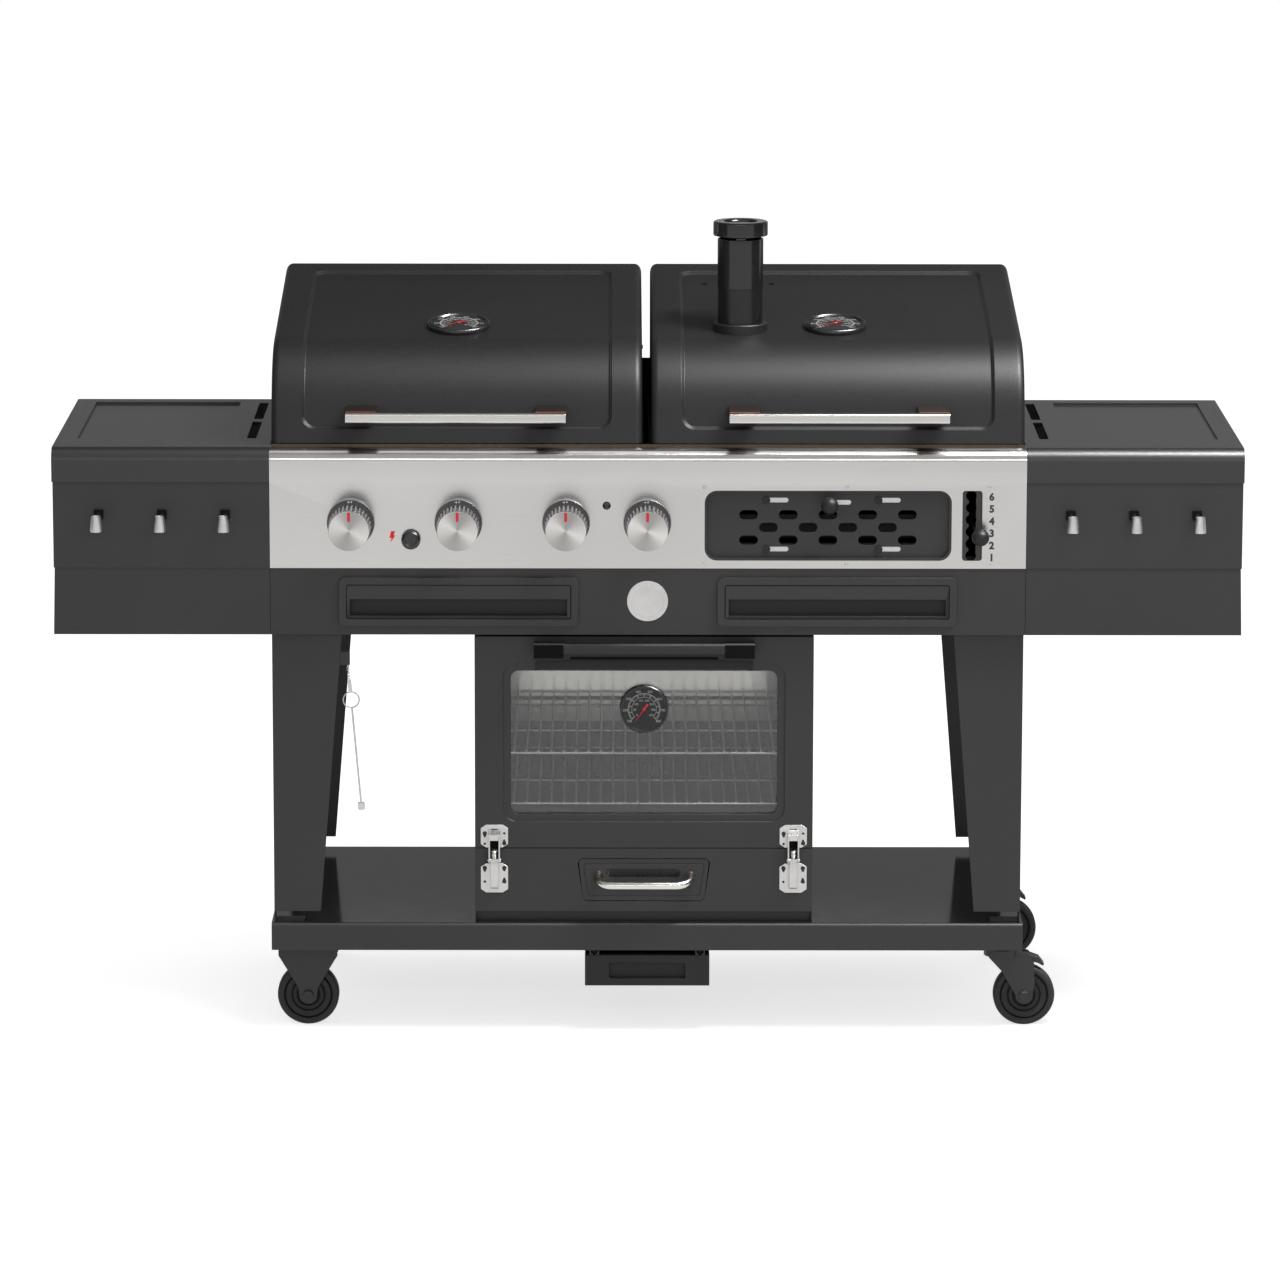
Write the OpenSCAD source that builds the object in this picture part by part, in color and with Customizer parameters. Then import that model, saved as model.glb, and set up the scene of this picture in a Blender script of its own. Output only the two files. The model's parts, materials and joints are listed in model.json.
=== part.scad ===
// Combination gas and charcoal grill with a glass-door smoker cabinet, on a cart with casters.
// Modelled from the front plane of the side shelves (y = 0, back is +y), then centred by placed().

/* [Overall] */
// Width across both side shelves
total_w = 2000; // [1900:10:2200]
// Width of the body between the side shelves
body_w = 1268; // [1240:4:1340]
// Depth of the lower shelf
shelf_d = 600; // [590:5:660]
// Height of the side shelf tops above the ground
work_z = 1010; // [990:5:1060]
// Height of the lower shelf's top
shelf_z = 192; // [185:1:200]
// Thickness of the sheet metal
sheet = 1.5; // [1:0.1:2]
// How far the knobs stand out in front of the side shelves
knob_reach = 88; // [80:1:100]

/* [Front] */
// Height of the rounded nosing along the top
nosing_h = 57; // [50:1:60]
// Bend radius of the nosing
nosing_r = 22; // [15:1:26]
// Height of the steel control face
face_h = 146; // [140:1:156]
// Height of the black apron with the drawers
apron_h = 114; // [108:1:120]
// Height of the knob axes above the bottom of the control face
knob_up = 78.3; // [70:1:90]
// Distance between the grill knobs
knob_pitch = 180.6; // [170:0.5:190]
// Place of the first knob from the body's left end
knob_x = 135.3; // [125:1:150]
// Largest radius of a knob's barrel
knob_r = 34.8; // [30:0.5:38]
// Length of a knob's barrel
knob_barrel = 46; // [40:1:52]
// Radius of the knob bezels
bezel_r = 40; // [39:0.5:44]
// Radius of the valve stems
stem_r = 4; // [3:0.5:5]
// Place of the igniter button from the body's left end
igniter_x = 236; // [230:1:242]
// Radius of the igniter button
igniter_r = 16; // [12:0.5:18]

/* [Vent and lever] */
// Width of the vent recess
vent_w = 414.7; // [410:1:420]
// Height of the vent recess
vent_h = 119; // [116:1:122]
// Place of the vent recess's middle from the body's middle
vent_x = 302.3; // [299:1:304]
// Depth of the vent pan
vent_d = 7; // [6:0.5:9]
// Width of a vent slot
slot_w = 31.5; // [28:0.5:32]
// Height of a vent slot
slot_h = 15.8; // [12:0.2:17]
// Distance between vent slots in a row
slot_pitch = 66.7; // [66:0.1:68]
// Distance between the rows of vent slots
slot_row = 21.6; // [20:0.2:23]
// Travel of the vent shutter
shutter_travel = 33; // [32:0.5:34]
// Width of the lever slot
lever_slot_w = 33.4; // [30:0.2:36]
// Place of the lever slot's middle from the body's middle
lever_x = 544.3; // [542:0.5:548]
// Radius of the ball knobs
ball_r = 14.5; // [12:0.5:16]

/* [Side shelves] */
// Depth of the side shelves
wing_d = 554; // [520:2:580]
// Depth of the pressed recess in the tops
recess_dip = 4; // [2:0.5:6]
// Length of a shelf slot
wing_slot_l = 184; // [160:2:200]
// Width of a shelf slot
wing_slot_w = 25; // [18:1:28]
// Distance between tool hooks
hook_pitch = 106; // [90:1:112]
// Reach of the tool hooks
hook_reach = 58; // [50:1:70]

/* [Lids] */
// Gap between the two lids
lid_gap = 15; // [12:0.5:20]
// Place of that gap from the body's middle
lid_gap_x = -2.5; // [-6:0.5:2]
// Lean of the lid's front, in degrees
lid_lean = 10; // [6:0.5:12]
// Slope of the lid's top, in degrees
lid_slope = 8.7; // [7:0.1:10]
// Bend radius between the front and the top
lid_r = 130; // [110:2:140]
// Where the two planes meet, above the shelf tops
lid_corner_up = 157; // [150:1:165]
// Height of the handle's middle above the shelf tops
handle_up = 61; // [58:1:66]
// Length of the handle bars
handle_l = 368; // [330:2:390]
// Radius of the lid dials
dial_r = 53.5; // [45:0.5:56]
// Radius of the chimney pipe
chimney_r = 39; // [34:0.5:42]
// Height of the chimney's top above the shelf tops
chimney_up = 329; // [320:1:340]

/* [Smoker] */
// Width of the smoker cabinet
cab_w = 573.2; // [560:1:580]
// Place of the cabinet's middle from the body's middle
cab_x = -6; // [-8:0.5:0]
// Thickness of the door
door_t = 32; // [28:1:36]
// Height of the seam under the door, above the lower shelf
seam_up = 127.5; // [124:0.5:130]
// Width of the window
window_w = 451; // [430:1:456]
// Height of the window
window_h = 247.5; // [235:0.5:250]
// Radius of the door dial
door_dial_r = 41.5; // [36:0.5:44]
// Length of the door handle
door_handle_l = 373; // [350:1:390]
// Thickness of the cabinet's insulated wall
wall = 20; // [18:1:22]
// Depth of the cabinet behind the front
cab_d = 535; // [520:1:540]
// Number of wires in a rack
wires = 22; // [18:1:24]

/* [Cart] */
// Width of a leg's front at the top
leg_top_w = 118; // [112:1:120]
// Width of a leg's front at the bottom
leg_foot_w = 79; // [70:1:90]
// Height of the shelf's edge flange
beam_h = 47; // [46:1:49]
// Radius of the wheels
wheel_r = 52.5; // [50:0.5:54]
// Width of the wheels
wheel_w = 28; // [24:0.5:28]
// Distance from the front axles to the rear axles
wheelbase = 496; // [490:1:500]
// Trail of the swivel casters
trail = 39; // [34:0.5:40]
// Width of the grease caddy
caddy_w = 212; // [200:1:220]
// Height of the grease caddy
caddy_h = 53; // [48:1:54]

/* [Hidden] */
$fn = 48;
black_coat = "#2e2f30";
dark_coat = "#1d1e1f";
steel = "#b9b8b6";
zinc = "#c4c3c1";
iron = "#26241f";
// Clearances: between faces that slide, beside a pin, and between panels with a seam
slide_gap = 0.3;
pin_gap = 0.05;
seam = 1;
// Below a dial that is clipped onto a lid
seat_gap = 0.02;
// How far the apron reaches up behind the control face
lap = 4;

// Planes of the front, from front to back
shelf_y = 12;
face_y = sheet;
apron_y = 2 * sheet;
rear_y = shelf_y + shelf_d;
mid_y = (rear_y - knob_reach) / 2;
// Heights
nosing_z = work_z - nosing_h;
face_z = nosing_z - face_h;
body_z = face_z - apron_h;
rim_z = work_z - 6;
beam_z = shelf_z - beam_h;
knob_z = face_z + knob_up;
// Body
half_w = body_w / 2;
half_total = total_w / 2;
leg_y = 20;
back_y = rear_y - 8;
panel_back = back_y - sheet;
leg_slant = (leg_top_w - leg_foot_w) / (body_z - shelf_z);
// Knobs and valves
knobs_x = [for (i = [0:2]) -half_w + knob_x + i * knob_pitch];
smoker_knob_x = knobs_x[2] + 136.3;
valves_x = concat(knobs_x, [smoker_knob_x]);
bezel_face = face_y - 10.5;
knob_back = bezel_face + 3;
knob_neck_r = 20;
knob_flutes = 30;
flute_r = 2;
box_y = 36;
// Depths of the gas and charcoal fireboxes, and of the charcoal tray at rest, below the work height
gas_box_h = 210;
coal_box_h = 225;
tray_drop = 160;
// Guide posts of the charcoal tray
post_r = 6;
manifold_y = 24;
manifold_r = 7;
// Gas inlet: the pipe through the side panel, and the flare fitting below its elbow
inlet_y = 29.5;
inlet_r = 5;
fitting_r = 7.94;
// Vent and lever
vent_z = face_z + face_h / 2;
pan_y = apron_y + sheet + vent_d;
shutter_y = pan_y + sheet + 0.5;
guide_h = 8.4;
guide_r = 3.5;
guides = [[-103.7, 41.7], [84.8, 41.7], [-103.2, -41.7], [85.5, -41.7]];
shutter_knob_x = 1.6;
pivot_y = 95;
pivot_z = vent_z;
lever_ball = [-40, -13];
// Side shelves
wing_in = half_w + sheet;
// How far one band of a side shelf's panels reaches up behind the next
wing_lap = 12;
// Lids: the profile in the y-z plane
lid_z = work_z + 5;
lid_y = 30;
corner_z = work_z + lid_corner_up;
corner_y = lid_y + (corner_z - lid_z) * tan(lid_lean);
lid_turn = 90 - lid_lean - lid_slope;
lid_tangent = lid_r * tan(lid_turn / 2);
arc_y = corner_y + lid_tangent * cos(lid_slope) + lid_r * sin(lid_slope);
arc_z = corner_z + lid_tangent * sin(lid_slope) - lid_r * cos(lid_slope);
lid_back = panel_back - 17.5;
lid_top_z = corner_z + (lid_back - corner_y) * tan(lid_slope);
lid_edge_r = 12;
left_lid_x = [-half_w + 1, lid_gap_x - lid_gap / 2];
right_lid_x = [lid_gap_x + lid_gap / 2, half_w - 1];
hinge_y = lid_back + 12;
hinge_z = work_z + 80;
ear_r = 8;
ear_t = 4;
hinge_pin_r = 4;
upstand_z = hinge_z - 12.5;
dial_y = 215;
emboss = [[52.5, 24], [48, 3]];
emboss_dip = 3;
lid_t = 2;
chimney_x = 157;
chimney_y = 208.7;
flange_w = 93;
cap_r = chimney_r + 7.3;
cap_h = 24;
cap_gap = 6;
rod_r = 4;
// Smoker cabinet
cab_front = 25;
cab_lo = cab_x - cab_w / 2;
cab_hi = cab_x + cab_w / 2;
cab_top = body_z - 6;
cab_back = cab_front + cab_d;
seam_z = shelf_z + seam_up;
door_z = seam_z + seam;
door_top = cab_top - 1;
body_y = cab_front + door_t + slide_gap;
chamber_z = seam_z + wall - 4;
window_z = door_z + 58.5;
window_r = 13.6;
window_rim = 13;
glass_y = cab_front + 8;
glass_t = 4;
glass_lap = 7;
door_dial_z = window_z + 182.5;
rack_z = [seam_z + 71.5, seam_z + 159.5];
rack_y = [body_y + 6, cab_back - wall - 6];
ledge_w = 14;
tray_floor = shelf_z + 36;
tray_w = [223, 206];
tray_h = 73;
tray_top_z = seam_z - 18;
tray_l = 300;
// Spring hinges of the door
spring_hinge_x = [cab_lo + 32.9, cab_hi - 32.9];
swing_y = 12;
swing_z = seam_z - 17.5;
swing_pin_r = 3;
arm_w = 19.5;
arm_wall = 2.5;
// Drawers
drawer_w = 376.5;
drawer_z = [face_z - 85.5, face_z - 28.5];
drawer_lo = [-half_w + leg_top_w + 9.5, half_w - leg_top_w - 9.5 - drawer_w];
drawer_l = 390;
// Back of a drawer's front, and the ledge it runs on
drawer_face_y = 12;
runner_w = 14;
frame_w = 13;
frame_t = 7;
// Match holder
match_z = body_z - 47;
match_x = -half_w + leg_top_w - leg_slant * (body_z - match_z) + 12;
match_y = leg_y + 12;
match_pin_r = 2;
// Casters
front_axle_y = 84;
wheel_xl = -580;
swivel_x = 607;
axle_r = 5;
king_r = 6;
plate_z = beam_z - 4;
crown_z = plate_z - 7.5;
cheek_t = 3;
cheek_gap = wheel_w + 2;
pedal_pin = [40, 117];
// Caddy
caddy_z = beam_z - 62.5;
caddy_y = 15;
caddy_l = 290;
rail_w = 15.5;
rail_x = caddy_w / 2 - 16;
rail_z = caddy_z + caddy_h + slide_gap;
hanger_w = 9;

// Moves a shape from the measured frame to the part's frame, centred front to back
module placed() translate([0, -mid_y, 0]) children();
// A box from its low corner to its high corner
module block(lo, hi) translate(lo) cube(hi - lo);
// Prism along x of an outline drawn as (y, z)
module x_prism(x0, x1) translate([x0, 0, 0]) rotate([90, 0, 90]) linear_extrude(x1 - x0) children();
// Prism along y of an outline drawn as (x, z)
module y_prism(y0, y1) translate([0, y1, 0]) rotate([90, 0, 0]) linear_extrude(y1 - y0) children();
// Prism along z of an outline drawn as (x, y)
module z_prism(z0, z1) translate([0, 0, z0]) linear_extrude(z1 - z0) children();
// Round rod along x, y or z between two coordinates
module x_rod(x0, x1, y, z, r) translate([x0, y, z]) rotate([0, 90, 0]) cylinder(h = x1 - x0, r = r);
module y_rod(y0, y1, x, z, r) translate([x, y1, z]) rotate([90, 0, 0]) cylinder(h = y1 - y0, r = r);
module z_rod(z0, z1, x, y, r) translate([x, y, z0]) cylinder(h = z1 - z0, r = r);
// Disc turned about a y axis, from a profile of (radius, distance behind y0)
module y_turned(x, y0, z) translate([x, y0, z]) rotate([-90, 0, 0]) rotate_extrude() children();
// Rectangle with round corners, from its low corner to its high corner
module rrect(lo, hi, r) {
  translate([lo.x + r, lo.y]) square([hi.x - lo.x - 2 * r, hi.y - lo.y]);
  translate([lo.x, lo.y + r]) square([hi.x - lo.x, hi.y - lo.y - 2 * r]);
  for (x = [lo.x + r, hi.x - r], y = [lo.y + r, hi.y - r]) translate([x, y]) circle(r);
}
// Rectangle whose two top corners are round
module dome_rect(lo, hi, r) {
  translate(lo) square([hi.x - lo.x, hi.y - r - lo.y]);
  translate([lo.x + r, lo.y]) square([hi.x - lo.x - 2 * r, hi.y - lo.y]);
  for (x = [lo.x + r, hi.x - r]) translate([x, hi.y - r]) circle(r);
}
// Slot with round ends, centred on a point, drawn lying
module lying_slot(c, w, h) rrect([c.x - w / 2, c.y - h / 2], [c.x + w / 2, c.y + h / 2], h / 2 - 0.01);
// Child shape and its mirror image across the body's middle
module both_sides() {
  children();
  mirror([1, 0, 0]) children();
}

// ---------------------------------------------------------------- cart
module lower_shelf() placed() color(dark_coat) {
  half = half_w + 4.7;
  difference() {
    x_prism(-half, half) dome_rect([shelf_y, beam_z], [rear_y, shelf_z], 6);
    x_prism(-half + sheet, half - sheet)
      dome_rect([shelf_y + sheet, beam_z - 1], [rear_y - sheet, shelf_z - sheet], 6 - sheet);
  }
}

module shelf_channels() placed() color(black_coat) both_sides() {
  outer = half_w + 4.7 - sheet;
  inner = outer - 110;
  difference() {
    block([inner, shelf_y + sheet, beam_z], [outer, rear_y - sheet, shelf_z - sheet]);
    block([inner + sheet, shelf_y, beam_z + 2], [outer - sheet, rear_y, shelf_z]);
    // a wide bend of the shelf runs over the channel's ends
    for (y = [shelf_y, rear_y - 8]) block([inner - 1, y, shelf_z - 9], [outer + 1, y + 8, shelf_z]);
  }
}

// Corner angle whose front tapers to the foot
module leg(front) {
  foot_z = shelf_z + 19;
  top_z = face_z - 18;
  plate = front ? [leg_y, leg_y + sheet] : [back_y - sheet, back_y];
  flange = front ? [leg_y, leg_y + 62] : [back_y - 62, back_y];
  foot = front ? [leg_y, leg_y + 44] : [back_y - 44, back_y];
  y_prism(plate.x, plate.y) polygon([[half_w, foot_z], [half_w - leg_foot_w, foot_z],
    [half_w - leg_top_w, body_z], [half_w - leg_top_w, top_z], [half_w, top_z]]);
  x_prism(half_w - sheet, half_w) polygon([[foot.x, shelf_z], [foot.y, shelf_z],
    [flange.y, body_z], [flange.x, body_z]]);
  // foot tab that is bolted to the shelf
  block([half_w - 50, foot.x + 6, shelf_z], [half_w, foot.y - 6, shelf_z + 2]);
}

module legs() placed() color(black_coat) {
  both_sides() {
    leg(true);
    leg(false);
  }
  // bracket and pin of the match holder
  block([match_x - 20, leg_y + sheet, match_z - 9], [match_x + 5, leg_y + 3, match_z + 14]);
  y_rod(leg_y + 3, match_y + 4, match_x, match_z, match_pin_r);
  y_rod(match_y + 4, match_y + 6, match_x, match_z, 4);
}

module side_panels() placed() color(dark_coat) {
  panel_y = leg_y + sheet;
  difference() {
    block([-half_w, panel_y, body_z], [-half_w + sheet, panel_back, rim_z]);
    // the gas inlet passes here
    x_rod(-half_w - 1, -half_w + sheet + 1, inlet_y, knob_z, inlet_r + 1);
  }
  block([half_w - sheet, panel_y, body_z], [half_w, panel_back, rim_z]);
  // strips that the side shelves are bolted to
  both_sides() block([half_w, 60, nosing_z + 8], [wing_in, wing_d - 40, nosing_z + 38]);
}

module back_panel() placed() color(dark_coat) {
  ears = [left_lid_x.x + 40, left_lid_x.y - 40 - ear_t, right_lid_x.x + 40, right_lid_x.y - 40 - ear_t];
  block([-half_w + sheet, panel_back - sheet, body_z], [half_w - sheet, panel_back, upstand_z]);
  block([-half_w, panel_back - sheet, rim_z], [half_w, panel_back, upstand_z]);
  // hinge ears with fixed pins, one inside each of the lid's ears
  for (i = [0:3]) {
    side = i % 2 == 0 ? 1 : -1;
    x0 = ears[i] + (side > 0 ? ear_t + 0.5 : -ear_t - 0.5);
    difference() {
      union() {
        x_rod(x0, x0 + ear_t, hinge_y, hinge_z, ear_r);
        block([x0, hinge_y - 4, upstand_z - 30], [x0 + ear_t, hinge_y + ear_r, hinge_z]);
      }
      block([x0 - 1, panel_back - sheet, upstand_z - 31], [x0 + ear_t + 1, panel_back, upstand_z]);
      block([x0 - 1, 0, upstand_z - 31], [x0 + ear_t + 1, panel_back - sheet, upstand_z + 2]);
    }
    x_rod(min(ears[i], x0) - 1, max(ears[i], x0) + ear_t + 1, hinge_y, hinge_z, hinge_pin_r);
  }
}

// ---------------------------------------------------------------- front
// Section of a folded top with a round nosing, as (y, z); d is the depth of its flat
module nosing_section(d) difference() {
  union() {
    translate([nosing_r, nosing_z]) square([d - nosing_r, nosing_h]);
    translate([0, nosing_z]) square([d, nosing_h - nosing_r]);
    translate([nosing_r, work_z - nosing_r]) circle(nosing_r);
  }
  translate([nosing_r, nosing_z - 1]) square([d + nosing_r, nosing_h + 1 - sheet]);
  translate([sheet, nosing_z - 1]) square([d + nosing_r, nosing_h + 1 - nosing_r]);
  translate([nosing_r, work_z - nosing_r]) circle(nosing_r - sheet);
}

module control_panel() placed() color(steel) {
  half = half_w + 1;
  x_prism(-half, half) nosing_section(box_y);
  block([-half, box_y - sheet, rim_z + sheet], [half, box_y, work_z - sheet]);
  // weld inside the nosing's wall and the face behind it
  block([-half, sheet / 2, nosing_z + 1], [half, face_y + sheet / 2, face_z + face_h + lap - 1]);
  y_prism(face_y, face_y + sheet) difference() {
    translate([-half, face_z]) square([2 * half, face_h + lap]);
    for (x = valves_x) translate([x, knob_z]) circle(stem_r + 6);
    translate([-half_w + igniter_x, knob_z - 29]) circle(6.3);
    translate([knobs_x[2] + 68, knob_z + 28.5]) circle(7);
    rrect([vent_x - vent_w / 2, vent_z - vent_h / 2], [vent_x + vent_w / 2, vent_z + vent_h / 2], 21);
    rrect([lever_x - lever_slot_w / 2, vent_z - vent_h / 2],
      [lever_x + lever_slot_w / 2, vent_z + vent_h / 2], 5);
  }
}

module drawer_apron() placed() color(black_coat) {
  half = half_w + 1;
  difference() {
    union() {
      y_prism(apron_y, apron_y + sheet) translate([-half, body_z]) square([2 * half, apron_h + lap]);
      y_prism(apron_y - frame_t, apron_y) for (x = drawer_lo)
        rrect([x - frame_w, drawer_z.x - frame_w], [x + drawer_w + frame_w, drawer_z.y + frame_w], 10);
      block([-half, apron_y, body_z], [half, leg_y, body_z + sheet]);
    }
    y_prism(apron_y - frame_t - 1, apron_y + sheet + 1) for (x = drawer_lo)
      rrect([x - seam, drawer_z.x - seam], [x + drawer_w + seam, drawer_z.y + seam], 4);
  }
}

// Angle runners under the two drawers, from the apron to the back panel
module drawer_runners() placed() color(dark_coat) for (x = drawer_lo) {
  for (side = [0, 1]) {
    edge = side == 0 ? x - slide_gap : x + drawer_w + slide_gap - runner_w;
    wall_x = side == 0 ? x - slide_gap - sheet : x + drawer_w + slide_gap;
    block([edge, drawer_face_y + slide_gap, drawer_z.x - 6],
      [edge + runner_w, panel_back - sheet, drawer_z.x + 2 - slide_gap]);
    block([wall_x, apron_y + sheet, drawer_z.x - 6], [wall_x + sheet, panel_back - sheet, drawer_z.x + 20]);
  }
}

// ---------------------------------------------------------------- side shelves
module wing_top() {
  slot_x = wing_in + 39.5;
  slots_y = [wing_d - 34 - wing_slot_l / 2, wing_d - 34 - wing_slot_l * 1.5 - 29];
  recess = [[wing_in + 79, 126], [half_total - 33.5, wing_d - 33]];
  difference() {
    union() {
      x_prism(wing_in, half_total) nosing_section(wing_d);
      // end, inner and back skirts of the folded top
      for (x = [wing_in, half_total - sheet]) x_prism(x, x + sheet) skirt_outline(wing_d);
      block([wing_in, wing_d - sheet, nosing_z], [half_total, wing_d, work_z - sheet]);
      block([recess[0].x, recess[0].y, work_z - sheet - recess_dip],
        [recess[1].x, recess[1].y, work_z - sheet / 2]);
    }
    block([recess[0].x + sheet, recess[0].y + sheet, work_z - recess_dip],
      [recess[1].x - sheet, recess[1].y - sheet, work_z + 1]);
    z_prism(work_z - 4, work_z + 1) for (y = slots_y)
      rrect([slot_x - wing_slot_w / 2, y - wing_slot_l / 2],
        [slot_x + wing_slot_w / 2, y + wing_slot_l / 2], 4);
  }
}
// Full outline of a side shelf's end, with the same round nosing
module skirt_outline(d) {
  translate([nosing_r, nosing_z]) square([d - nosing_r, nosing_h]);
  translate([0, nosing_z]) square([d, nosing_h - nosing_r]);
  translate([nosing_r, work_z - nosing_r]) circle(nosing_r);
}
module side_shelf_tops() placed() color(black_coat) both_sides() wing_top();

// One band of panels round the front, end and back of a side shelf
module wing_band(inset, z0, z1) {
  block([wing_in, inset, z0], [half_total - inset, inset + sheet, z1]);
  block([half_total - inset - sheet, inset, z0], [half_total - inset, wing_d - inset, z1]);
  block([wing_in, wing_d - inset - sheet, z0], [half_total - inset, wing_d - inset, z1]);
}
module side_shelf_panels() placed() color(black_coat) both_sides() {
  difference() {
    wing_band(face_y, face_z, nosing_z + wing_lap);
    // notched round the inner skirt of the top
    block([wing_in - 1, 0, nosing_z], [wing_in + sheet, wing_d, nosing_z + wing_lap + 1]);
  }
  wing_band(apron_y, body_z, face_z + wing_lap);
}

module tool_hooks() placed() color(steel) {
  hook_z = face_z + 86.5;
  for (side = [-1, 1], i = [-1:1]) {
    x = side * 815.5 + i * hook_pitch;
    y_rod(-hook_reach + 6, face_y, x, hook_z, 4);
    y_rod(-2.5, face_y, x, hook_z, 9);
    translate([x, -hook_reach, hook_z - 16]) rotate_extrude()
      polygon([[0, 0], [8.2, 0], [10.4, 1.4], [11, 3.6], [7.6, 31], [6.9, 32], [6.3, 31], [5.2, 22],
        [0, 20]]);
  }
}

// ---------------------------------------------------------------- controls
module knob_bezels() placed() color("#55565a") for (x = valves_x) {
  y_turned(x, bezel_face, knob_z) polygon([[stem_r + 5, 5], [bezel_r - 2, 5], [bezel_r - 2, 0],
    [bezel_r - 0.8, 0], [bezel_r, 1], [bezel_r, 10.5], [stem_r + 5, 10.5]]);
}

// Fluted barrel that flares to the back, on a narrower neck with a bore for the valve stem
module control_knob(x) placed() color(zinc) difference() {
  y_turned(x, -knob_reach, knob_z) polygon([[0, 0], [knob_r - 4.3, 0], [knob_r - 3.1, 1.2],
    [knob_r, knob_barrel - 2], [knob_r - 1, knob_barrel], [knob_neck_r + 3, knob_barrel],
    [knob_neck_r, knob_barrel + 3],
    [knob_neck_r, knob_reach + knob_back], [0, knob_reach + knob_back]]);
  y_rod(knob_back - 40, knob_back + 1, x, knob_z, stem_r + pin_gap);
  for (i = [0:knob_flutes - 1]) translate([x, 0, knob_z]) rotate([0, i * 360 / knob_flutes, 0])
    y_rod(3.4 - knob_reach, knob_barrel - knob_reach + 1, 0, knob_r + 0.5, flute_r);
}
module control_knob_1() control_knob(valves_x[0]);
module control_knob_2() control_knob(valves_x[1]);
module control_knob_3() control_knob(valves_x[2]);
module control_knob_4() control_knob(valves_x[3]);

module igniter_button() placed() color(dark_coat) {
  y_turned(-half_w + igniter_x, -14, knob_z - 29) difference() {
    polygon([[0, 0], [igniter_r - 3, 0], [igniter_r, 3], [igniter_r, 8], [6, 8], [6, 24], [0, 24]]);
    translate([0, -1]) square([igniter_r - 7, 2]);
  }
}

// ---------------------------------------------------------------- vent and lever
function slot_centres() = concat(
  [for (i = [-2:2], row = [-1, 1]) [i * slot_pitch, row * slot_row]],
  [for (i = [-1.5:1.5]) [i * slot_pitch, 0]]);

module vent_slots(grow = 0) for (c = slot_centres())
  lying_slot([vent_x + c.x, vent_z - 4.6 + c.y], slot_w + grow, slot_h + grow);

module vent_plate() placed() color(dark_coat) difference() {
  lo = [vent_x - vent_w / 2, vent_z - vent_h / 2];
  hi = [vent_x + vent_w / 2, vent_z + vent_h / 2];
  union() {
    y_prism(apron_y, apron_y + sheet) difference() {
      translate([lo.x - 12, face_z + lap]) square([lever_x + 34 - lo.x + 12, face_h - lap - 2]);
      rrect(lo + [4, 4], hi - [4, 4], 17);
      // notched gate that holds the lever at its heights
      translate([lever_x - 6, vent_z - vent_h / 2 + 4]) square([12, vent_h - 8]);
      for (i = [0:5]) translate([lever_x - 2, vent_z - 51 + i * 20.4]) circle(9);
    }
    y_prism(apron_y, pan_y + sheet) difference() {
      rrect(lo + [2.5, 2.5], hi - [2.5, 2.5], 18.5);
      rrect(lo + [4, 4], hi - [4, 4], 17);
    }
    y_prism(pan_y, pan_y + sheet) rrect(lo + [2.5, 2.5], hi - [2.5, 2.5], 18.5);
  }
  y_prism(pan_y - 1, pan_y + sheet + 1) {
    vent_slots();
    for (g = guides) lying_slot([vent_x + g.x + shutter_travel / 2, vent_z + g.y],
      shutter_travel + guide_h, guide_h);
    lying_slot([vent_x + shutter_knob_x + shutter_travel / 2, vent_z + 38],
      shutter_travel + guide_h, guide_h);
  }
}

module vent_shutter() placed() color("#191a1b") {
  y_prism(shutter_y, shutter_y + sheet) difference() {
    rrect([vent_x - 195, vent_z - 50], [vent_x + 158, vent_z + 50], 8);
    vent_slots();
  }
  for (g = guides) {
    y_rod(pan_y - 0.3, shutter_y, vent_x + g.x, vent_z + g.y, guide_r);
    y_rod(pan_y - 3, pan_y - 0.3, vent_x + g.x, vent_z + g.y, 6.5);
  }
  y_rod(-14, shutter_y, vent_x + shutter_knob_x, vent_z + 38, guide_r);
  translate([vent_x + shutter_knob_x, -22, vent_z + 38]) sphere(ball_r);
}

module panel_screws() placed() color(steel) {
  for (x = [vent_x - vent_w / 2, (vent_x - vent_w / 2 + lever_x + 28) / 2, lever_x + 28],
      z = [face_z + 7.5, nosing_z - 8])
    y_turned(x, face_y - 1.6, z) polygon([[0, 0], [2.4, 0], [3.5, 1], [3.5, 1.6], [0, 1.6]]);
}

// Bent lever: a flat arm on the pivot, a rod through the gate and the ball
module lift_lever() placed() color(dark_coat) {
  ball_y = lever_ball.x;
  ball_z = pivot_z + lever_ball.y;
  arm = [pivot_y - ball_y, ball_z - pivot_z];
  difference() {
    union() {
      translate([lever_x, pivot_y, pivot_z]) rotate([atan2(-arm.y, arm.x), 0, 0])
        y_rod(-norm(arm) + 4, 0, 0, 0, 4);
      x_rod(lever_x - 8, half_w - 16, pivot_y, pivot_z, 9);
    }
    x_rod(lever_x - 9, half_w - 15, pivot_y, pivot_z, 5 + pin_gap);
  }
  translate([lever_x, ball_y, ball_z]) sphere(ball_r);
}

// ---------------------------------------------------------------- fireboxes
// Open box with a flange that lies on the panels' rims
module firebox_shell(x0, x1, floor_z, front_wall) {
  inner_y = panel_back - sheet;
  difference() {
    union() {
      block([x0, front_wall, floor_z], [x1, inner_y, rim_z + 1]);
      block([x0 < 0 ? -half_w : x0 - 6, box_y - 6, rim_z],
        [x1 > 0 ? half_w : x1 + 6, inner_y, rim_z + sheet]);
    }
    block([x0 + sheet, front_wall + sheet, floor_z + sheet], [x1 - sheet, inner_y - sheet, work_z]);
  }
  // ledges that carry the grates
  for (y = [front_wall + sheet, inner_y - sheet - 16])
    block([x0 + sheet, y, work_z - 28], [x1 - sheet, y + 16, work_z - 26]);
}

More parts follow.
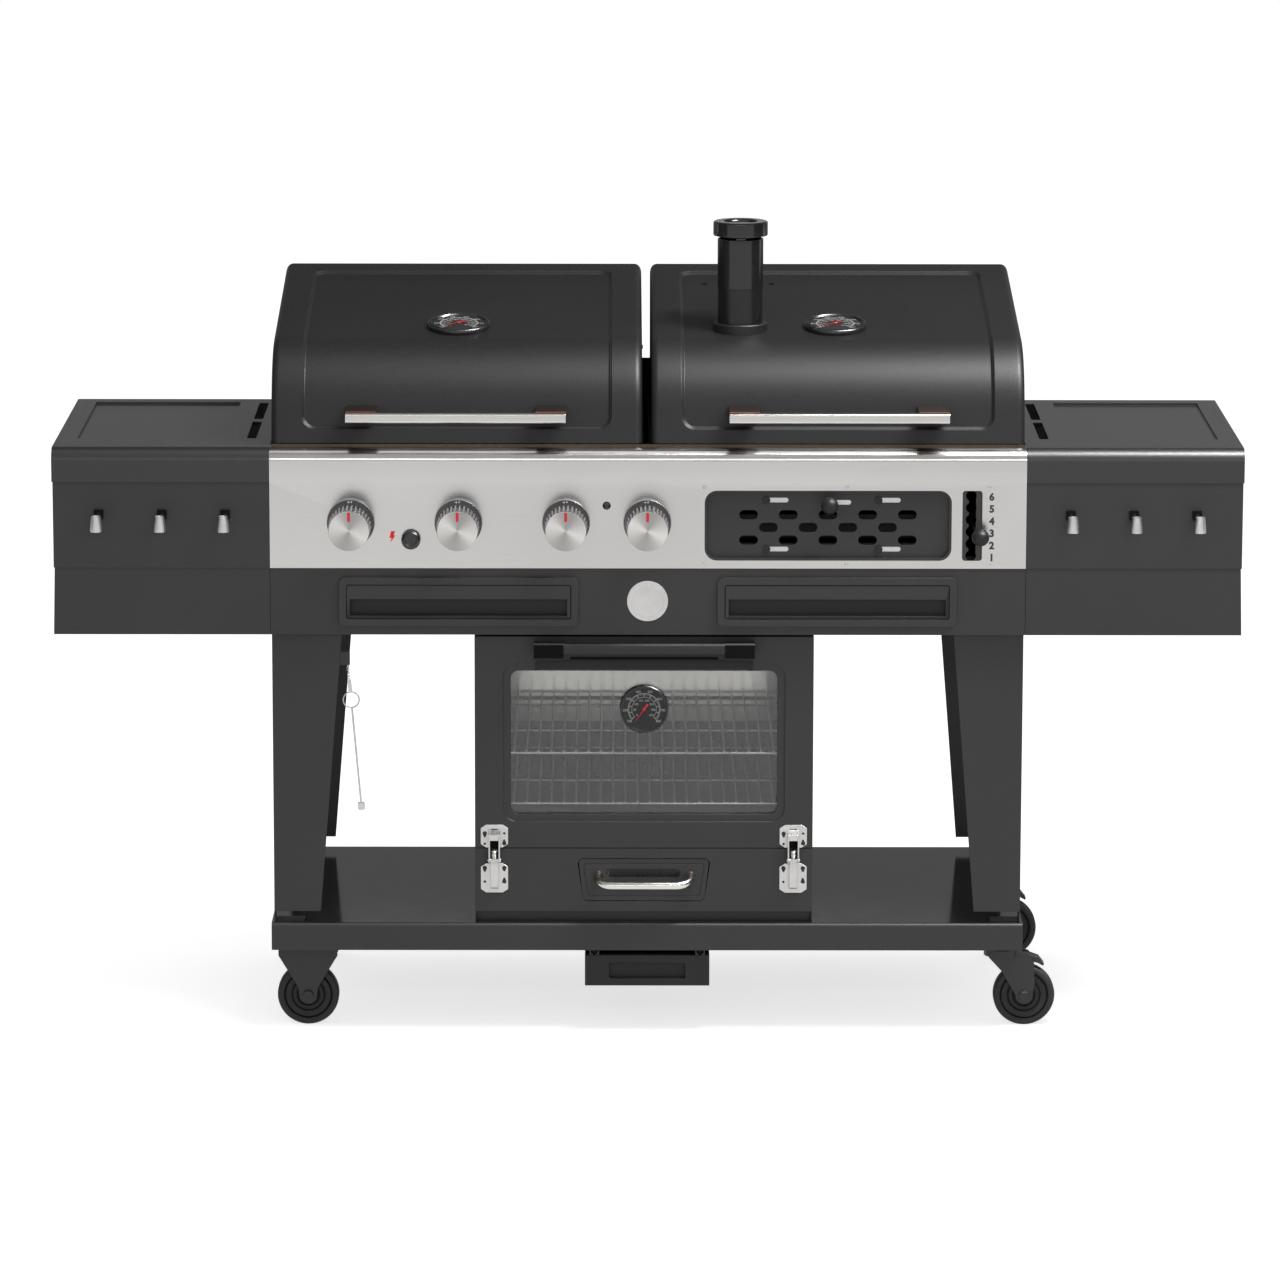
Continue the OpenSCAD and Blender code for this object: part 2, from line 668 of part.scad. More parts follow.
module left_firebox() placed() color("#232323") {
  x0 = -half_w + 6;
  x1 = lid_gap_x - lid_gap / 2 - 2;
  floor_z = work_z - gas_box_h;
  difference() {
    firebox_shell(x0, x1, floor_z, box_y);
    for (x = knobs_x) y_rod(box_y - 1, box_y + sheet + 1, x, knob_z, 12);
    block([x0 + 230, 240, floor_z - 1], [x1 - 230, 340, floor_z + sheet + 1]);
  }
  for (y = [box_y + sheet, panel_back - 2 * sheet - 16])
    block([x0 + sheet, y, knob_z + 31], [x1 - sheet, y + 16, knob_z + 33]);
}

module right_firebox() placed() color("#232323") {
  x0 = lid_gap_x + lid_gap / 2 + 2;
  x1 = half_w - 6;
  floor_z = work_z - coal_box_h;
  posts = tray_posts;
  difference() {
    firebox_shell(x0, x1, floor_z, box_y);
    // air from the vent, slot of the lift lever, ash slot over the drawer
    block([vent_x - vent_w / 2 + 35, box_y - 1, vent_z - 35],
      [vent_x + vent_w / 2 - 35, box_y + sheet + 1, vent_z + 35]);
    block([lever_x - 11, box_y - 1, vent_z - 58], [lever_x + 11, box_y + sheet + 1, vent_z + 58]);
    block([posts.x + 130, 150, floor_z - 1], [posts.y - 46, 360, floor_z + sheet + 1]);
  }
  // guide posts of the charcoal tray and the pin of the lift lever
  for (x = posts) z_rod(floor_z + sheet, work_z - 30, x, mid_box, post_r);
  x_rod(lever_x - 6, x1 - sheet, pivot_y, pivot_z, 5);
}
mid_box = (box_y + panel_back) / 2;
tray_posts = [lid_gap_x + lid_gap / 2 + 42, lever_x - 60];

module charcoal_tray() placed() color(iron) {
  x0 = lid_gap_x + lid_gap / 2 + 22;
  x1 = lever_x - 30;
  tray_z = work_z - tray_drop;
  posts = tray_posts;
  difference() {
    union() {
      difference() {
        block([x0, box_y + 20, tray_z], [x1, panel_back - 22, tray_z + 40]);
        block([x0 + 3, box_y + 23, tray_z + 3], [x1 - 3, panel_back - 25, tray_z + 41]);
        for (i = [0:10], y = [[box_y + 50, mid_box - 30], [mid_box + 30, panel_back - 60]])
          block([x0 + 60 + i * 32, y.x, tray_z - 1], [x0 + 72 + i * 32, y.y, tray_z + 4]);
      }
      for (x = posts) z_rod(tray_z, tray_z + 40, x, mid_box, post_r + 5);
    }
    for (x = posts) z_rod(tray_z - 1, tray_z + 41, x, mid_box, post_r + pin_gap);
  }
}

module gas_burners() placed() color("#8f8b84") {
  for (x = knobs_x) {
    y_rod(box_y - 2, panel_back - 2 * sheet, x, knob_z, 12);
    block([x - 18, panel_back - 40, knob_z - 2], [x + 18, panel_back - 2 * sheet, knob_z + 2]);
  }
  // smoker burner on its two feet
  y_rod(body_y + 40, cab_back - 30, smoker_knob_x - 5, shelf_z + 16, 8);
  for (y = [body_y + 60, cab_back - 60])
    block([smoker_knob_x - 17, y, shelf_z + sheet], [smoker_knob_x + 7, y + 4, shelf_z + 16]);
}

module flame_tamers() placed() color("#9a968f") for (x = knobs_x)
  y_prism(box_y + sheet, panel_back - 2 * sheet) polygon([[x - 48, knob_z + 33], [x, knob_z + 63],
    [x + 48, knob_z + 33], [x + 48, knob_z + 35], [x, knob_z + 65], [x - 48, knob_z + 35]]);

// Four cast grates, two in each firebox
module cooking_grates() placed() color(iron) {
  lo_x = [-half_w + 8.5, lid_gap_x + lid_gap / 2 + 5];
  hi_x = [lid_gap_x - lid_gap / 2 - 5, half_w - 8.5];
  y0 = box_y + sheet + 1;
  y1 = panel_back - 2 * sheet - 1;
  z0 = work_z - 26;
  for (side = [0, 1], half = [0, 1]) {
    w = (hi_x[side] - lo_x[side] - 1) / 2;
    x0 = lo_x[side] + half * (w + 1);
    for (y = [y0, y1 - 12]) block([x0, y, z0], [x0 + w, y + 12, z0 + 12]);
    pitch = (w - 9) / 15;
    for (i = [0:15]) block([x0 + i * pitch, y0, z0 + 1], [x0 + i * pitch + 9, y1, z0 + 12]);
  }
}

module gas_manifold() placed() color("#a7a39a") {
  inlet_x = -half_w - 34;
  down_z = body_z + 47;
  // valve bodies with their stems
  for (x = valves_x) {
    block([x - 13, manifold_y - 12, knob_z - 14], [x + 13, box_y - 2, knob_z + 14]);
    y_rod(knob_back - 38, manifold_y, x, knob_z, stem_r);
  }
  x_rod(-half_w + 40, smoker_knob_x, manifold_y, knob_z - 8, manifold_r);
  // inlet through the side panel, with an elbow and the hose's fitting below it
  translate([-half_w + 40, manifold_y, knob_z - 8]) sphere(manifold_r);
  block([-half_w + 26, manifold_y - 8, knob_z - 16], [-half_w + 42, inlet_y + inlet_r + 0.5, knob_z + 8]);
  x_rod(inlet_x, -half_w + 30, inlet_y, knob_z, inlet_r);
  x_rod(-half_w - 10, -half_w - 2, inlet_y, knob_z, inlet_r + 4);
  block([inlet_x - 10, inlet_y - 10, knob_z - 12], [inlet_x + 10, inlet_y + 10, knob_z + 10]);
  z_rod(knob_z - 20, knob_z - 12, inlet_x, inlet_y, 11);
  z_rod(knob_z - 42, knob_z - 20, inlet_x, inlet_y, fitting_r);
  // line to the smoker burner, down behind the apron and behind the cabinet
  z_rod(down_z, knob_z, smoker_knob_x, manifold_y, 5);
  y_rod(manifold_y, cab_back + 18, smoker_knob_x, down_z, 5);
  z_rod(shelf_z + 16, down_z, smoker_knob_x, cab_back + 18, 5);
  y_rod(cab_back - 30, cab_back + 18, smoker_knob_x, shelf_z + 16, 5);
  for (p = [[manifold_y, down_z], [cab_back + 18, down_z], [cab_back + 18, shelf_z + 16]])
    translate([smoker_knob_x, p.x, p.y]) sphere(5);
}

// ---------------------------------------------------------------- lids
// Outline of a lid as (y, z), shrunk by an inset
function lid_outline(inset) = let (
    n = 10,
    step = lid_turn / n,
    r = lid_r - inset,
    front = inset / cos(lid_lean),
    back = lid_back - inset,
    top = lid_top_z - inset * tan(lid_slope) - inset / cos(lid_slope))
  concat([[lid_y + front, lid_z]],
    [for (i = [0:n]) [arc_y - r * cos(lid_lean + i * step), arc_z + r * sin(lid_lean + i * step)]],
    [[back - 4, top - 4 * tan(lid_slope)], [back - 1.2, top - 1.8], [back, top - 5], [back, lid_z]]);

// Solid form of a lid with softly rounded ends
module lid_form(x0, x1, inset, drop) {
  r = lid_edge_r - inset;
  hull() for (a = [0, 30, 60, 90]) {
    shrink = r * (1 - sin(a)) + inset;
    run = (x1 - x0) / 2 - inset - r * (1 - cos(a));
    translate([0, 0, -drop]) x_prism((x0 + x1) / 2 - run, (x0 + x1) / 2 + run) polygon(lid_outline(shrink));
  }
}

module lid_shell(xs) {
  mid = (xs.x + xs.y) / 2;
  difference() {
    lid_form(xs.x, xs.y, 0, 0);
    difference() {
      lid_form(xs.x, xs.y, lid_t, 3);
      lid_panel(xs, 0, lid_t + emboss_dip, lid_t);
    }
    lid_panel(xs, -5, emboss_dip, 0);
  }
}

// Layer of the pressed panel across a lid's front and top, between two insets
module lid_panel(xs, from, to, grow) difference() {
  edge = emboss[0].x - grow;
  x_prism(xs.x + edge, xs.y - edge) polygon(lid_outline(from));
  x_prism(xs.x, xs.y) polygon(concat([[lid_y + 20, lid_z - 9]], lid_outline(to), [[lid_back, lid_z - 9]]));
  block([xs.x, -10, lid_z - 9], [xs.y, lid_back + 9, lid_z + emboss[0].y - grow]);
  block([xs.x, lid_back - emboss[1].x + grow, lid_z - 1], [xs.y, lid_back + 9, lid_top_z + 20]);
}

// Hinge ears on the back of a lid, bored for the pins
module lid_ears(xs) for (x = [xs.x + 40, xs.y - 40 - ear_t]) difference() {
  union() {
    x_rod(x, x + ear_t, hinge_y, hinge_z, ear_r);
    block([x, lid_back - 1, hinge_z - ear_r], [x + ear_t, hinge_y, hinge_z + ear_r]);
  }
  x_rod(x - 1, x + ear_t + 1, hinge_y, hinge_z, hinge_pin_r + pin_gap);
}

module lid_side_bolts(x0, x1) for (z = [work_z + 13, work_z + 93])
  x_rod(x0, x1, lid_back - 27, z, 4);

module left_lid() placed() color(black_coat) {
  lid_shell(left_lid_x);
  lid_ears(left_lid_x);
  lid_side_bolts(left_lid_x.y - 0.5, left_lid_x.y + 3);
}

module right_lid() placed() color(black_coat) {
  hole_y = chimney_y + 255;
  difference() {
    lid_shell(right_lid_x);
    z_rod(lid_z + 60, lid_top_z + 40, chimney_x, chimney_y, chimney_r - sheet);
    for (side = [-1, 1]) z_rod(lid_z + 60, lid_top_z + 40, chimney_x + side * 58.4, hole_y, 5);
  }
  lid_ears(right_lid_x);
}

// Where the lid's leaning front is at a height
function front_y(h) = lid_y + (h - lid_z) * tan(lid_lean);
// Bar with a folded section on two stand-offs that end on the leaning lid
module lid_handle(xs) placed() color(steel) {
  mid = (xs.x + xs.y) / 2;
  z = work_z + handle_up;
  dip = emboss_dip / cos(lid_lean);
  x_prism(mid - handle_l / 2, mid + handle_l / 2) polygon([[-46, z - 7], [-42, z - 11], [-32, z - 11],
    [-28, z - 7], [-28, z + 7], [-32, z + 11], [-42, z + 11], [-46, z + 7]]);
  for (x = [mid - handle_l / 2, mid + handle_l / 2 - 51])
    x_prism(x, x + 51)
      polygon([[-29, z - 6], [front_y(z - 6) + dip, z - 6], [front_y(z + 6) + dip, z + 6], [-29, z + 6]]);
}
module left_lid_handle() lid_handle(left_lid_x);
module right_lid_handle() lid_handle(right_lid_x);

// Dial thermometer that lies on the lid's sloping top
module lid_dial(xs) {
  mid = (xs.x + xs.y) / 2;
  surface = corner_z + (dial_y - corner_y) * tan(lid_slope) - (emboss_dip - seat_gap) / cos(lid_slope);
  translate([mid, dial_y, surface]) rotate([lid_slope, 0, 0]) rotate_extrude()
    polygon([[0, 0], [dial_r - 2, 0], [dial_r, 2], [dial_r, 5], [dial_r - 3, 8.4], [dial_r - 7, 8.4],
      [dial_r - 9.5, 5.4], [0, 5.4]]);
}
module left_lid_dial() placed() color(dark_coat) lid_dial(left_lid_x);
module right_lid_dial() placed() color(dark_coat) lid_dial(right_lid_x);

// Pipe in two lengths on a square flange that lies on the lid
module chimney() placed() color(dark_coat) {
  pipe_z = work_z + chimney_up;
  surface = corner_z + (chimney_y - corner_y) * tan(lid_slope) - emboss_dip / cos(lid_slope);
  difference() {
    union() {
      translate([chimney_x, chimney_y, surface]) rotate([lid_slope, 0, 0])
        z_prism(0, 3) {
          rrect([-flange_w / 2, -flange_w / 2], [flange_w / 2, flange_w / 2], 28);
          translate([-flange_w / 2, -flange_w / 2]) square([flange_w, 40]);
        }
      difference() {
        union() {
          z_rod(surface - 10, work_z + 247, chimney_x, chimney_y, chimney_r + 0.6);
          z_rod(work_z + 247, pipe_z, chimney_x, chimney_y, chimney_r);
        }
        translate([chimney_x, chimney_y, surface]) rotate([lid_slope, 0, 0])
          block([-60, -60, -40], [60, 60, 0]);
      }
    }
    z_rod(lid_z, pipe_z - 14, chimney_x, chimney_y, chimney_r - sheet);
    z_rod(lid_z, pipe_z + 1, chimney_x, chimney_y, chimney_r - sheet);
  }
  // strap and boss that hold the cap's rod
  difference() {
    union() {
      block([chimney_x - chimney_r + 0.5, chimney_y - 6, pipe_z - 24],
        [chimney_x + chimney_r - 0.5, chimney_y + 6, pipe_z - 21]);
      z_rod(pipe_z - 24, pipe_z - 12, chimney_x, chimney_y, 8);
    }
    z_rod(pipe_z - 25, pipe_z, chimney_x, chimney_y, rod_r + pin_gap);
  }
}

module chimney_cap() placed() color(black_coat) {
  z0 = work_z + chimney_up + cap_gap;
  translate([chimney_x, chimney_y, z0]) rotate_extrude() polygon([[0, cap_h - 3], [cap_r - 3, cap_h - 3],
    [cap_r - 2, cap_h - 4], [cap_r - 2, 0], [cap_r, 0], [cap_r, cap_h - 3], [cap_r - 3, cap_h], [0, cap_h]]);
  z_rod(z0 - 34, z0 + cap_h - 2, chimney_x, chimney_y, rod_r);
}

// ---------------------------------------------------------------- smoker
module window_outline(grow, r) rrect([cab_x - window_w / 2 - grow, window_z - grow],
  [cab_x + window_w / 2 + grow, window_z + window_h + grow], r);

module smoker_cabinet() placed() color(dark_coat) {
  lo = [cab_lo, body_y, shelf_z];
  hi = [cab_hi, cab_back, cab_top];
  difference() {
    block(lo, hi);
    block([cab_lo + wall, body_y - 1, chamber_z], [cab_hi - wall, cab_back - wall, cab_top - wall]);
    block([cab_lo + sheet, body_y - 1, shelf_z + sheet], [cab_hi - sheet, cab_back - sheet, seam_z - 4]);
    // gas line and flue openings in the back
    y_rod(cab_back - 10, cab_back + 1, smoker_knob_x, shelf_z + 16, 5.3);
    for (x = [-60, 0, 60]) y_rod(cab_back - wall - 1, cab_back + 1, cab_x + x, cab_top - wall - 30, 12);
    // heat rises from the burner through the floor
    block([cab_x - 120, 160, seam_z - 5], [cab_x + 120, 400, chamber_z + 1]);
  }
  // ledges for the racks
  for (z = rack_z, x = [cab_lo + wall, cab_hi - wall - ledge_w])
    block([x, rack_y.x, z - 7], [x + ledge_w, rack_y.y, z - 4]);
  // guides of the chip tray
  for (side = [-1, 1]) translate([cab_x + side * (tray_w[1] / 2 - 13), 0, 0]) {
    block([-6, body_y, shelf_z + 1], [6, body_y + tray_l + 20, tray_floor - slide_gap]);
    block([side * 8.3 - 0.8, body_y, shelf_z + 1], [side * 8.3 + 0.8, body_y + tray_l + 20, tray_floor + 12]);
  }
}

// Trapezoid with round corners, wider at the top, about the cabinet's middle
module tray_front_outline(grow) {
  w1 = tray_w[0] / 2 + grow;
  w0 = tray_w[1] / 2 + grow;
  z1 = tray_top_z + grow;
  z0 = tray_top_z - tray_h - grow;
  translate([cab_x, 0]) polygon([[-w1, z1 - 9], [-w1 + 3, z1 - 2.5], [-w1 + 9, z1], [w1 - 9, z1],
    [w1 - 3, z1 - 2.5], [w1, z1 - 9], [w0, z0 + 9], [w0 - 3, z0 + 2.5], [w0 - 9, z0], [-w0 + 9, z0],
    [-w0 + 3, z0 + 2.5], [-w0, z0 + 9]]);
}

module cabinet_lower_panel() placed() color(black_coat) {
  y_prism(cab_front, cab_front + sheet) difference() {
    translate([cab_lo, shelf_z + 18]) square([cab_w, seam_z - shelf_z - 18]);
    tray_front_outline(seam);
  }
  for (x = [cab_lo, cab_hi - sheet]) block([x, cab_front, shelf_z], [x + sheet, body_y, seam_z]);
  block([cab_lo, body_y - 20, shelf_z], [cab_hi, body_y - 20 + sheet, shelf_z + 20]);
  block([cab_lo, cab_front, shelf_z + 18], [cab_hi, body_y - 18.5, shelf_z + 18 + sheet]);
}

// Wire rack with cross rails below the wires
module rack(z) {
  x0 = cab_lo + wall + 3;
  x1 = cab_hi - wall - 3;
  pitch = 21;
  first = cab_x - pitch * (wires - 1) / 2;
  for (y = [rack_y.x, rack_y.x + 190, rack_y.y - 60, rack_y.y - 5]) translate([x0, y, z - 1.5])
    rotate([0, 90, 0]) rotate([0, 0, 22.5]) cylinder(h = x1 - x0, r = 2.7, $fn = 8);
  for (i = [0:wires - 1]) translate([first + i * pitch, rack_y.y, z + 1])
    rotate([90, 0, 0]) rotate([0, 0, 22.5]) cylinder(h = rack_y.y - rack_y.x, r = 1.7, $fn = 8);
}
module smoker_racks() placed() color("#8a8a88") for (z = rack_z) rack(z);

module smoker_door() placed() color(black_coat) {
  difference() {
    block([cab_lo, cab_front, door_z], [cab_hi, cab_front + door_t, door_top]);
    y_prism(cab_front - 1, cab_front + 3) window_outline(window_rim, 24);
    y_prism(cab_front, glass_y + 1) window_outline(0, window_r);
    y_prism(glass_y, cab_front + door_t + 1) window_outline(glass_lap, window_r + 4);
  }
}

module door_glass() placed() color("#303538", 0.35) y_prism(glass_y, glass_y + glass_t) difference() {
  window_outline(glass_lap - 0.2, window_r + 4);
  translate([cab_x, door_dial_z]) circle(6);
}

module door_dial() placed() color(dark_coat) {
  y_turned(cab_x, glass_y - 14, door_dial_z) polygon([[0, 3], [door_dial_r - 6, 3], [door_dial_r - 4, 0],
    [door_dial_r - 1, 0], [door_dial_r, 2], [door_dial_r, 12], [door_dial_r - 2, 14], [0, 14]]);
  y_rod(glass_y, glass_y + glass_t, cab_x, door_dial_z, 5.9);
  y_rod(glass_y + glass_t, glass_y + 46, cab_x, door_dial_z, 3.2);
  y_rod(glass_y + glass_t, glass_y + glass_t + 3, cab_x, door_dial_z, 10);
}

module door_handle() placed() color(dark_coat) {
  x0 = cab_x - door_handle_l / 2;
  x1 = cab_x + door_handle_l / 2;
  bar_z = [door_top - 33, door_top - 5];
  // grip, its two feet and the strip that fastens it above the window
  difference() {
    block([x0, -16, bar_z.x], [x1, -7, bar_z.y]);
    block([x0 + 68, -13, bar_z.x - 1], [x1 - 60, -6, bar_z.x + 6]);
  }
  for (x = [x0, x1 - 51]) block([x, -7, bar_z.x + 4], [x + 51, cab_front, bar_z.y - 4]);
  block([x0 + 4, cab_front - 3, bar_z.x - 14], [x1 - 4, cab_front, bar_z.x]);
}

// Half outline of a hinge plate with cut corners, as (x, z) about its middle
module hinge_plate_outline(z0, z1, cut_top) difference() {
  w = 23.6;
  cut = 12;
  zc = cut_top ? z1 : z0;
  dir = cut_top ? -1 : 1;
  polygon([[-w, zc + dir * cut], [-w + cut, zc], [w - cut, zc], [w, zc + dir * cut],
    [w, cut_top ? z0 : z1], [-w, cut_top ? z0 : z1]]);
  for (x = [-17.3, 17.3], z = [z0 + 9, z1 - 14]) translate([x, z]) circle(1.8);
}

module hinge_arms() placed() color(zinc) for (x = spring_hinge_x) translate([x, 0, 0]) {
  y_prism(cab_front - 2, cab_front) hinge_plate_outline(door_z + 3, door_z + 43, true);
  difference() {
    x_prism(-arm_w / 2, arm_w / 2) {
      polygon([[swing_y - 5, swing_z], [swing_y + 5, swing_z], [cab_front - 7, door_z + 2],
        [cab_front - 2, door_z + 4], [cab_front - 2, door_z + 33], [swing_y - 3, door_z + 26]]);
      translate([swing_y, swing_z]) circle(5.5);
    }
    // hollow between the two cheeks, open round the spring
    x_prism(-arm_w / 2 + arm_wall, arm_w / 2 - arm_wall) polygon([[swing_y - 9, swing_z - 9],
      [swing_y + 9, swing_z - 9], [cab_front + 1, door_z - 2], [cab_front + 1, door_z + 24],
      [swing_y, door_z + 16], [swing_y - 9, swing_z + 14.5]]);
    x_rod(-arm_w, arm_w, swing_y, swing_z, swing_pin_r + pin_gap);
  }
}

module hinge_lower_plates() placed() color(zinc) for (x = spring_hinge_x) translate([x, 0, 0]) {
  inner = arm_w / 2 - arm_wall - 0.4;
  y_prism(cab_front - 2, cab_front) hinge_plate_outline(seam_z - 74, seam_z - 23, false);
  x_prism(-inner, inner) polygon([[cab_front - 2, seam_z - 70], [swing_y + 3, seam_z - 66],
    [swing_y - 3, seam_z - 30], [swing_y - 3, swing_z - 3], [swing_y, swing_z], [swing_y + 4, swing_z + 2],
    [swing_y + 4, seam_z - 26], [cab_front - 2, seam_z - 30]]);
  x_rod(-arm_w / 2 - 2, arm_w / 2 + 2, swing_y, swing_z, swing_pin_r);
  // the spring that holds the door, as stacked turns
  for (i = [0:3]) translate([0, swing_y, swing_z - 1 + i * 2.6]) rotate_extrude()
    translate([3.2, 0]) circle(1.4, $fn = 16);
  z_rod(swing_z - 1, swing_z + 8, 0, swing_y, 2.6);
}

// Tray with a trapezoid front and a chrome bow handle
module chip_tray() placed() color(steel) {
  front_y = cab_front + 1;
  floor_w = tray_w[1] / 2 - 8;
  y_prism(front_y, front_y + 3) tray_front_outline(0);
  difference() {
    block([cab_x - floor_w, front_y + 2, tray_floor], [cab_x + floor_w, front_y + tray_l, tray_floor + 50]);
    block([cab_x - floor_w + sheet, front_y + 3, tray_floor + sheet],
      [cab_x + floor_w - sheet, front_y + tray_l - sheet, tray_floor + 51]);
  }
  handle_z = tray_top_z - 32;
  for (side = [-1, 1]) {
    y_rod(front_y - 34, front_y + 1, cab_x + side * 76, handle_z, 6);
    translate([cab_x + side * 76, front_y - 34, handle_z]) sphere(6);
  }
  x_rod(cab_x - 76, cab_x + 76, front_y - 34, handle_z, 6);
}

// ---------------------------------------------------------------- drawers
module drawer(x, label) placed() color(black_coat) {
  lo = drawer_z.x;
  hi = drawer_z.y;
  difference() {
    y_prism(-3, drawer_face_y) rrect([x, lo], [x + drawer_w, hi], 3);
    // finger recess under the label band
    block([x + 6, -4, lo + 5], [x + drawer_w - 6, 9, lo + 33]);
  }
  difference() {
    block([x + 4, drawer_face_y - 1, lo + 2], [x + drawer_w - 4, drawer_l, hi - 8]);
    block([x + 4 + sheet, drawer_face_y, lo + 2 + sheet],
      [x + drawer_w - 4 - sheet, drawer_l - sheet, hi]);
  }
}
module grease_drawer() drawer(drawer_lo[0]);
module ash_drawer() drawer(drawer_lo[1]);

module caddy_rails() placed() color("#8d8f91") for (side = [-1, 1]) {
  x = side * rail_x;
  y1 = caddy_y + caddy_l + 40;
  difference() {
    block([x - rail_w / 2, caddy_y + 3, rail_z], [x + rail_w / 2, y1, rail_z + 12]);
    block([x - rail_w / 2 + sheet, caddy_y + 2, rail_z + sheet],
      [x + rail_w / 2 - sheet, y1 + 1, rail_z + 12 - sheet]);
    block([x - 2.5, caddy_y + 2, rail_z - 1], [x + 2.5, y1 + 1, rail_z + 4]);
  }
  block([x - rail_w / 2, caddy_y + 3, rail_z + 12], [x - rail_w / 2 + sheet, y1, shelf_z - sheet]);
}

// Open caddy that hangs in the rails by two T strips
module caddy() placed() color("#26282a") {
  top = caddy_z + caddy_h;
  half = caddy_w / 2;
  difference() {
    block([-half, caddy_y, caddy_z], [half, caddy_y + caddy_l, top]);
    block([-half + 3, caddy_y + 14, caddy_z + 3], [half - 3, caddy_y + caddy_l - 3, top + 1]);
    y_prism(caddy_y - 1, caddy_y + 10) rrect([-65, caddy_z + 12], [65, caddy_z + 40], 4);
  }
  for (side = [-1, 1]) {
    x = side * rail_x;
    block([x - 1.5, caddy_y + 12, top - 8], [x + 1.5, caddy_y + caddy_l, rail_z + sheet + 2]);
    block([x - hanger_w / 2, caddy_y + 12, rail_z + sheet + slide_gap],
      [x + hanger_w / 2, caddy_y + caddy_l, rail_z + sheet + 4]);
    for (y = [caddy_y + 12, caddy_y + caddy_l - 3])
      block([side > 0 ? x : -half, y, top - 8], [side > 0 ? half : x, y + 3, top]);
  }
}

// ---------------------------------------------------------------- casters
axle_ys = [front_axle_y, front_axle_y + wheelbase];

// Cheek of a fork as (x, z), about the axle's x
module fixed_cheek() {
  polygon([[-50.5, plate_z], [50.5, plate_z], [50.5, plate_z - 19], [17, wheel_r + 14], [15, wheel_r],
    [-15, wheel_r], [-17, wheel_r + 14], [-50.5, plate_z - 19]]);
  translate([0, wheel_r]) circle(15);
}
module swivel_cheek() {
  polygon([[-22, crown_z - 2], [30, crown_z - 2], [48, crown_z - 9], [55, crown_z - 20], [57, wheel_r + 20],
    [trail + 14, wheel_r], [trail - 14, wheel_r], [0, crown_z - 38], [-22, crown_z - 14]]);
  translate([trail, wheel_r]) circle(14.5);
}
module cheeks(y) for (side = [-1, 1]) {
  inner = y + side * cheek_gap / 2;
  y_prism(min(inner, inner + side * cheek_t), max(inner, inner + side * cheek_t)) children();
}

module caster_mounts() placed() color("#202122") for (y = axle_ys) {
  reach = cheek_gap / 2 + cheek_t;
  translate([wheel_xl, 0, 0]) {
    cheeks(y) fixed_cheek();
    block([-50.5, y - 30, plate_z], [50.5, y + 30, beam_z]);
    y_rod(y - reach - 4, y + reach + 4, 0, wheel_r, axle_r);
    for (side = [-1, 1]) y_rod(y + side * (reach + 2.5) - 2.5, y + side * (reach + 2.5) + 2.5, 0, wheel_r, 9);
  }
  translate([swivel_x, y, 0]) {
    block([-30, -30, plate_z], [30, 30, beam_z]);
    z_rod(crown_z + slide_gap, plate_z, 0, 0, 25);
    z_rod(crown_z - 16, crown_z + 1, 0, 0, king_r);
    z_rod(crown_z - 19, crown_z - 12 - slide_gap, 0, 0, 10);
  }
}

// Crown that turns on the king pin, two cheeks, the axle and the pin of the brake pedal
module swivel_fork(y) placed() color("#202122") translate([swivel_x, 0, 0]) {
  reach = cheek_gap / 2 + cheek_t;
  difference() {
    union() {
      z_rod(crown_z - 12, crown_z, 0, y, 30);
      cheeks(y) swivel_cheek();
    }
    z_rod(crown_z - 13, crown_z + 1, 0, y, king_r + pin_gap);
  }
  y_rod(y - reach - 4, y + reach + 4, trail, wheel_r, axle_r);
  for (side = [-1, 1])
    y_rod(y + side * (reach + 2.5) - 2.5, y + side * (reach + 2.5) + 2.5, trail, wheel_r, 9);
  y_rod(y - reach, y + reach, pedal_pin.x, pedal_pin.y, 2.5);
}
module front_swivel_fork() swivel_fork(axle_ys[0]);
module rear_swivel_fork() swivel_fork(axle_ys[1]);

module brake_pedal(y) placed() color(dark_coat) translate([swivel_x, 0, 0]) difference() {
  y_prism(y - 13, y + 13) polygon([[34, 114], [34, 122], [40, 124], [50, 123], [64, 118], [73, 107],
    [71, 104], [62, 109], [50, 112]]);
  y_rod(y - 14, y + 14, pedal_pin.x, pedal_pin.y, 2.5 + pin_gap);
}
module front_brake_pedal() brake_pedal(axle_ys[0]);
module rear_brake_pedal() brake_pedal(axle_ys[1]);

// Tyre, grooved disc and hub turned in one
module wheel(x, y) placed() color("#232425") {
  half = wheel_w / 2;
  hub = cheek_gap / 2 - slide_gap;
  y_turned(x, y, wheel_r) polygon([[axle_r + pin_gap, -hub], [15, -hub], [16, 3 - half], [27, 3 - half],
    [28, 4 - half], [29, 3 - half], [38.5, 1.5 - half], [39.5, 3 - half], [40.5, 1.5 - half],
    [wheel_r - 8, -half],
    [wheel_r - 3, 0.8 - half], [wheel_r, 5 - half], [wheel_r, half - 5], [wheel_r - 3, half - 0.8],
    [wheel_r - 8, half], [40.5, half - 1.5], [39.5, half - 3], [38.5, half - 1.5], [29, half - 3],
    [28, half - 4], [27, half - 3], [16, half - 3], [15, hub], [axle_r + pin_gap, hub]]);
}
module front_left_wheel() wheel(wheel_xl, axle_ys[0]);
module rear_left_wheel() wheel(wheel_xl, axle_ys[1]);
module front_right_wheel() wheel(swivel_x + trail, axle_ys[0]);
module rear_right_wheel() wheel(swivel_x + trail, axle_ys[1]);

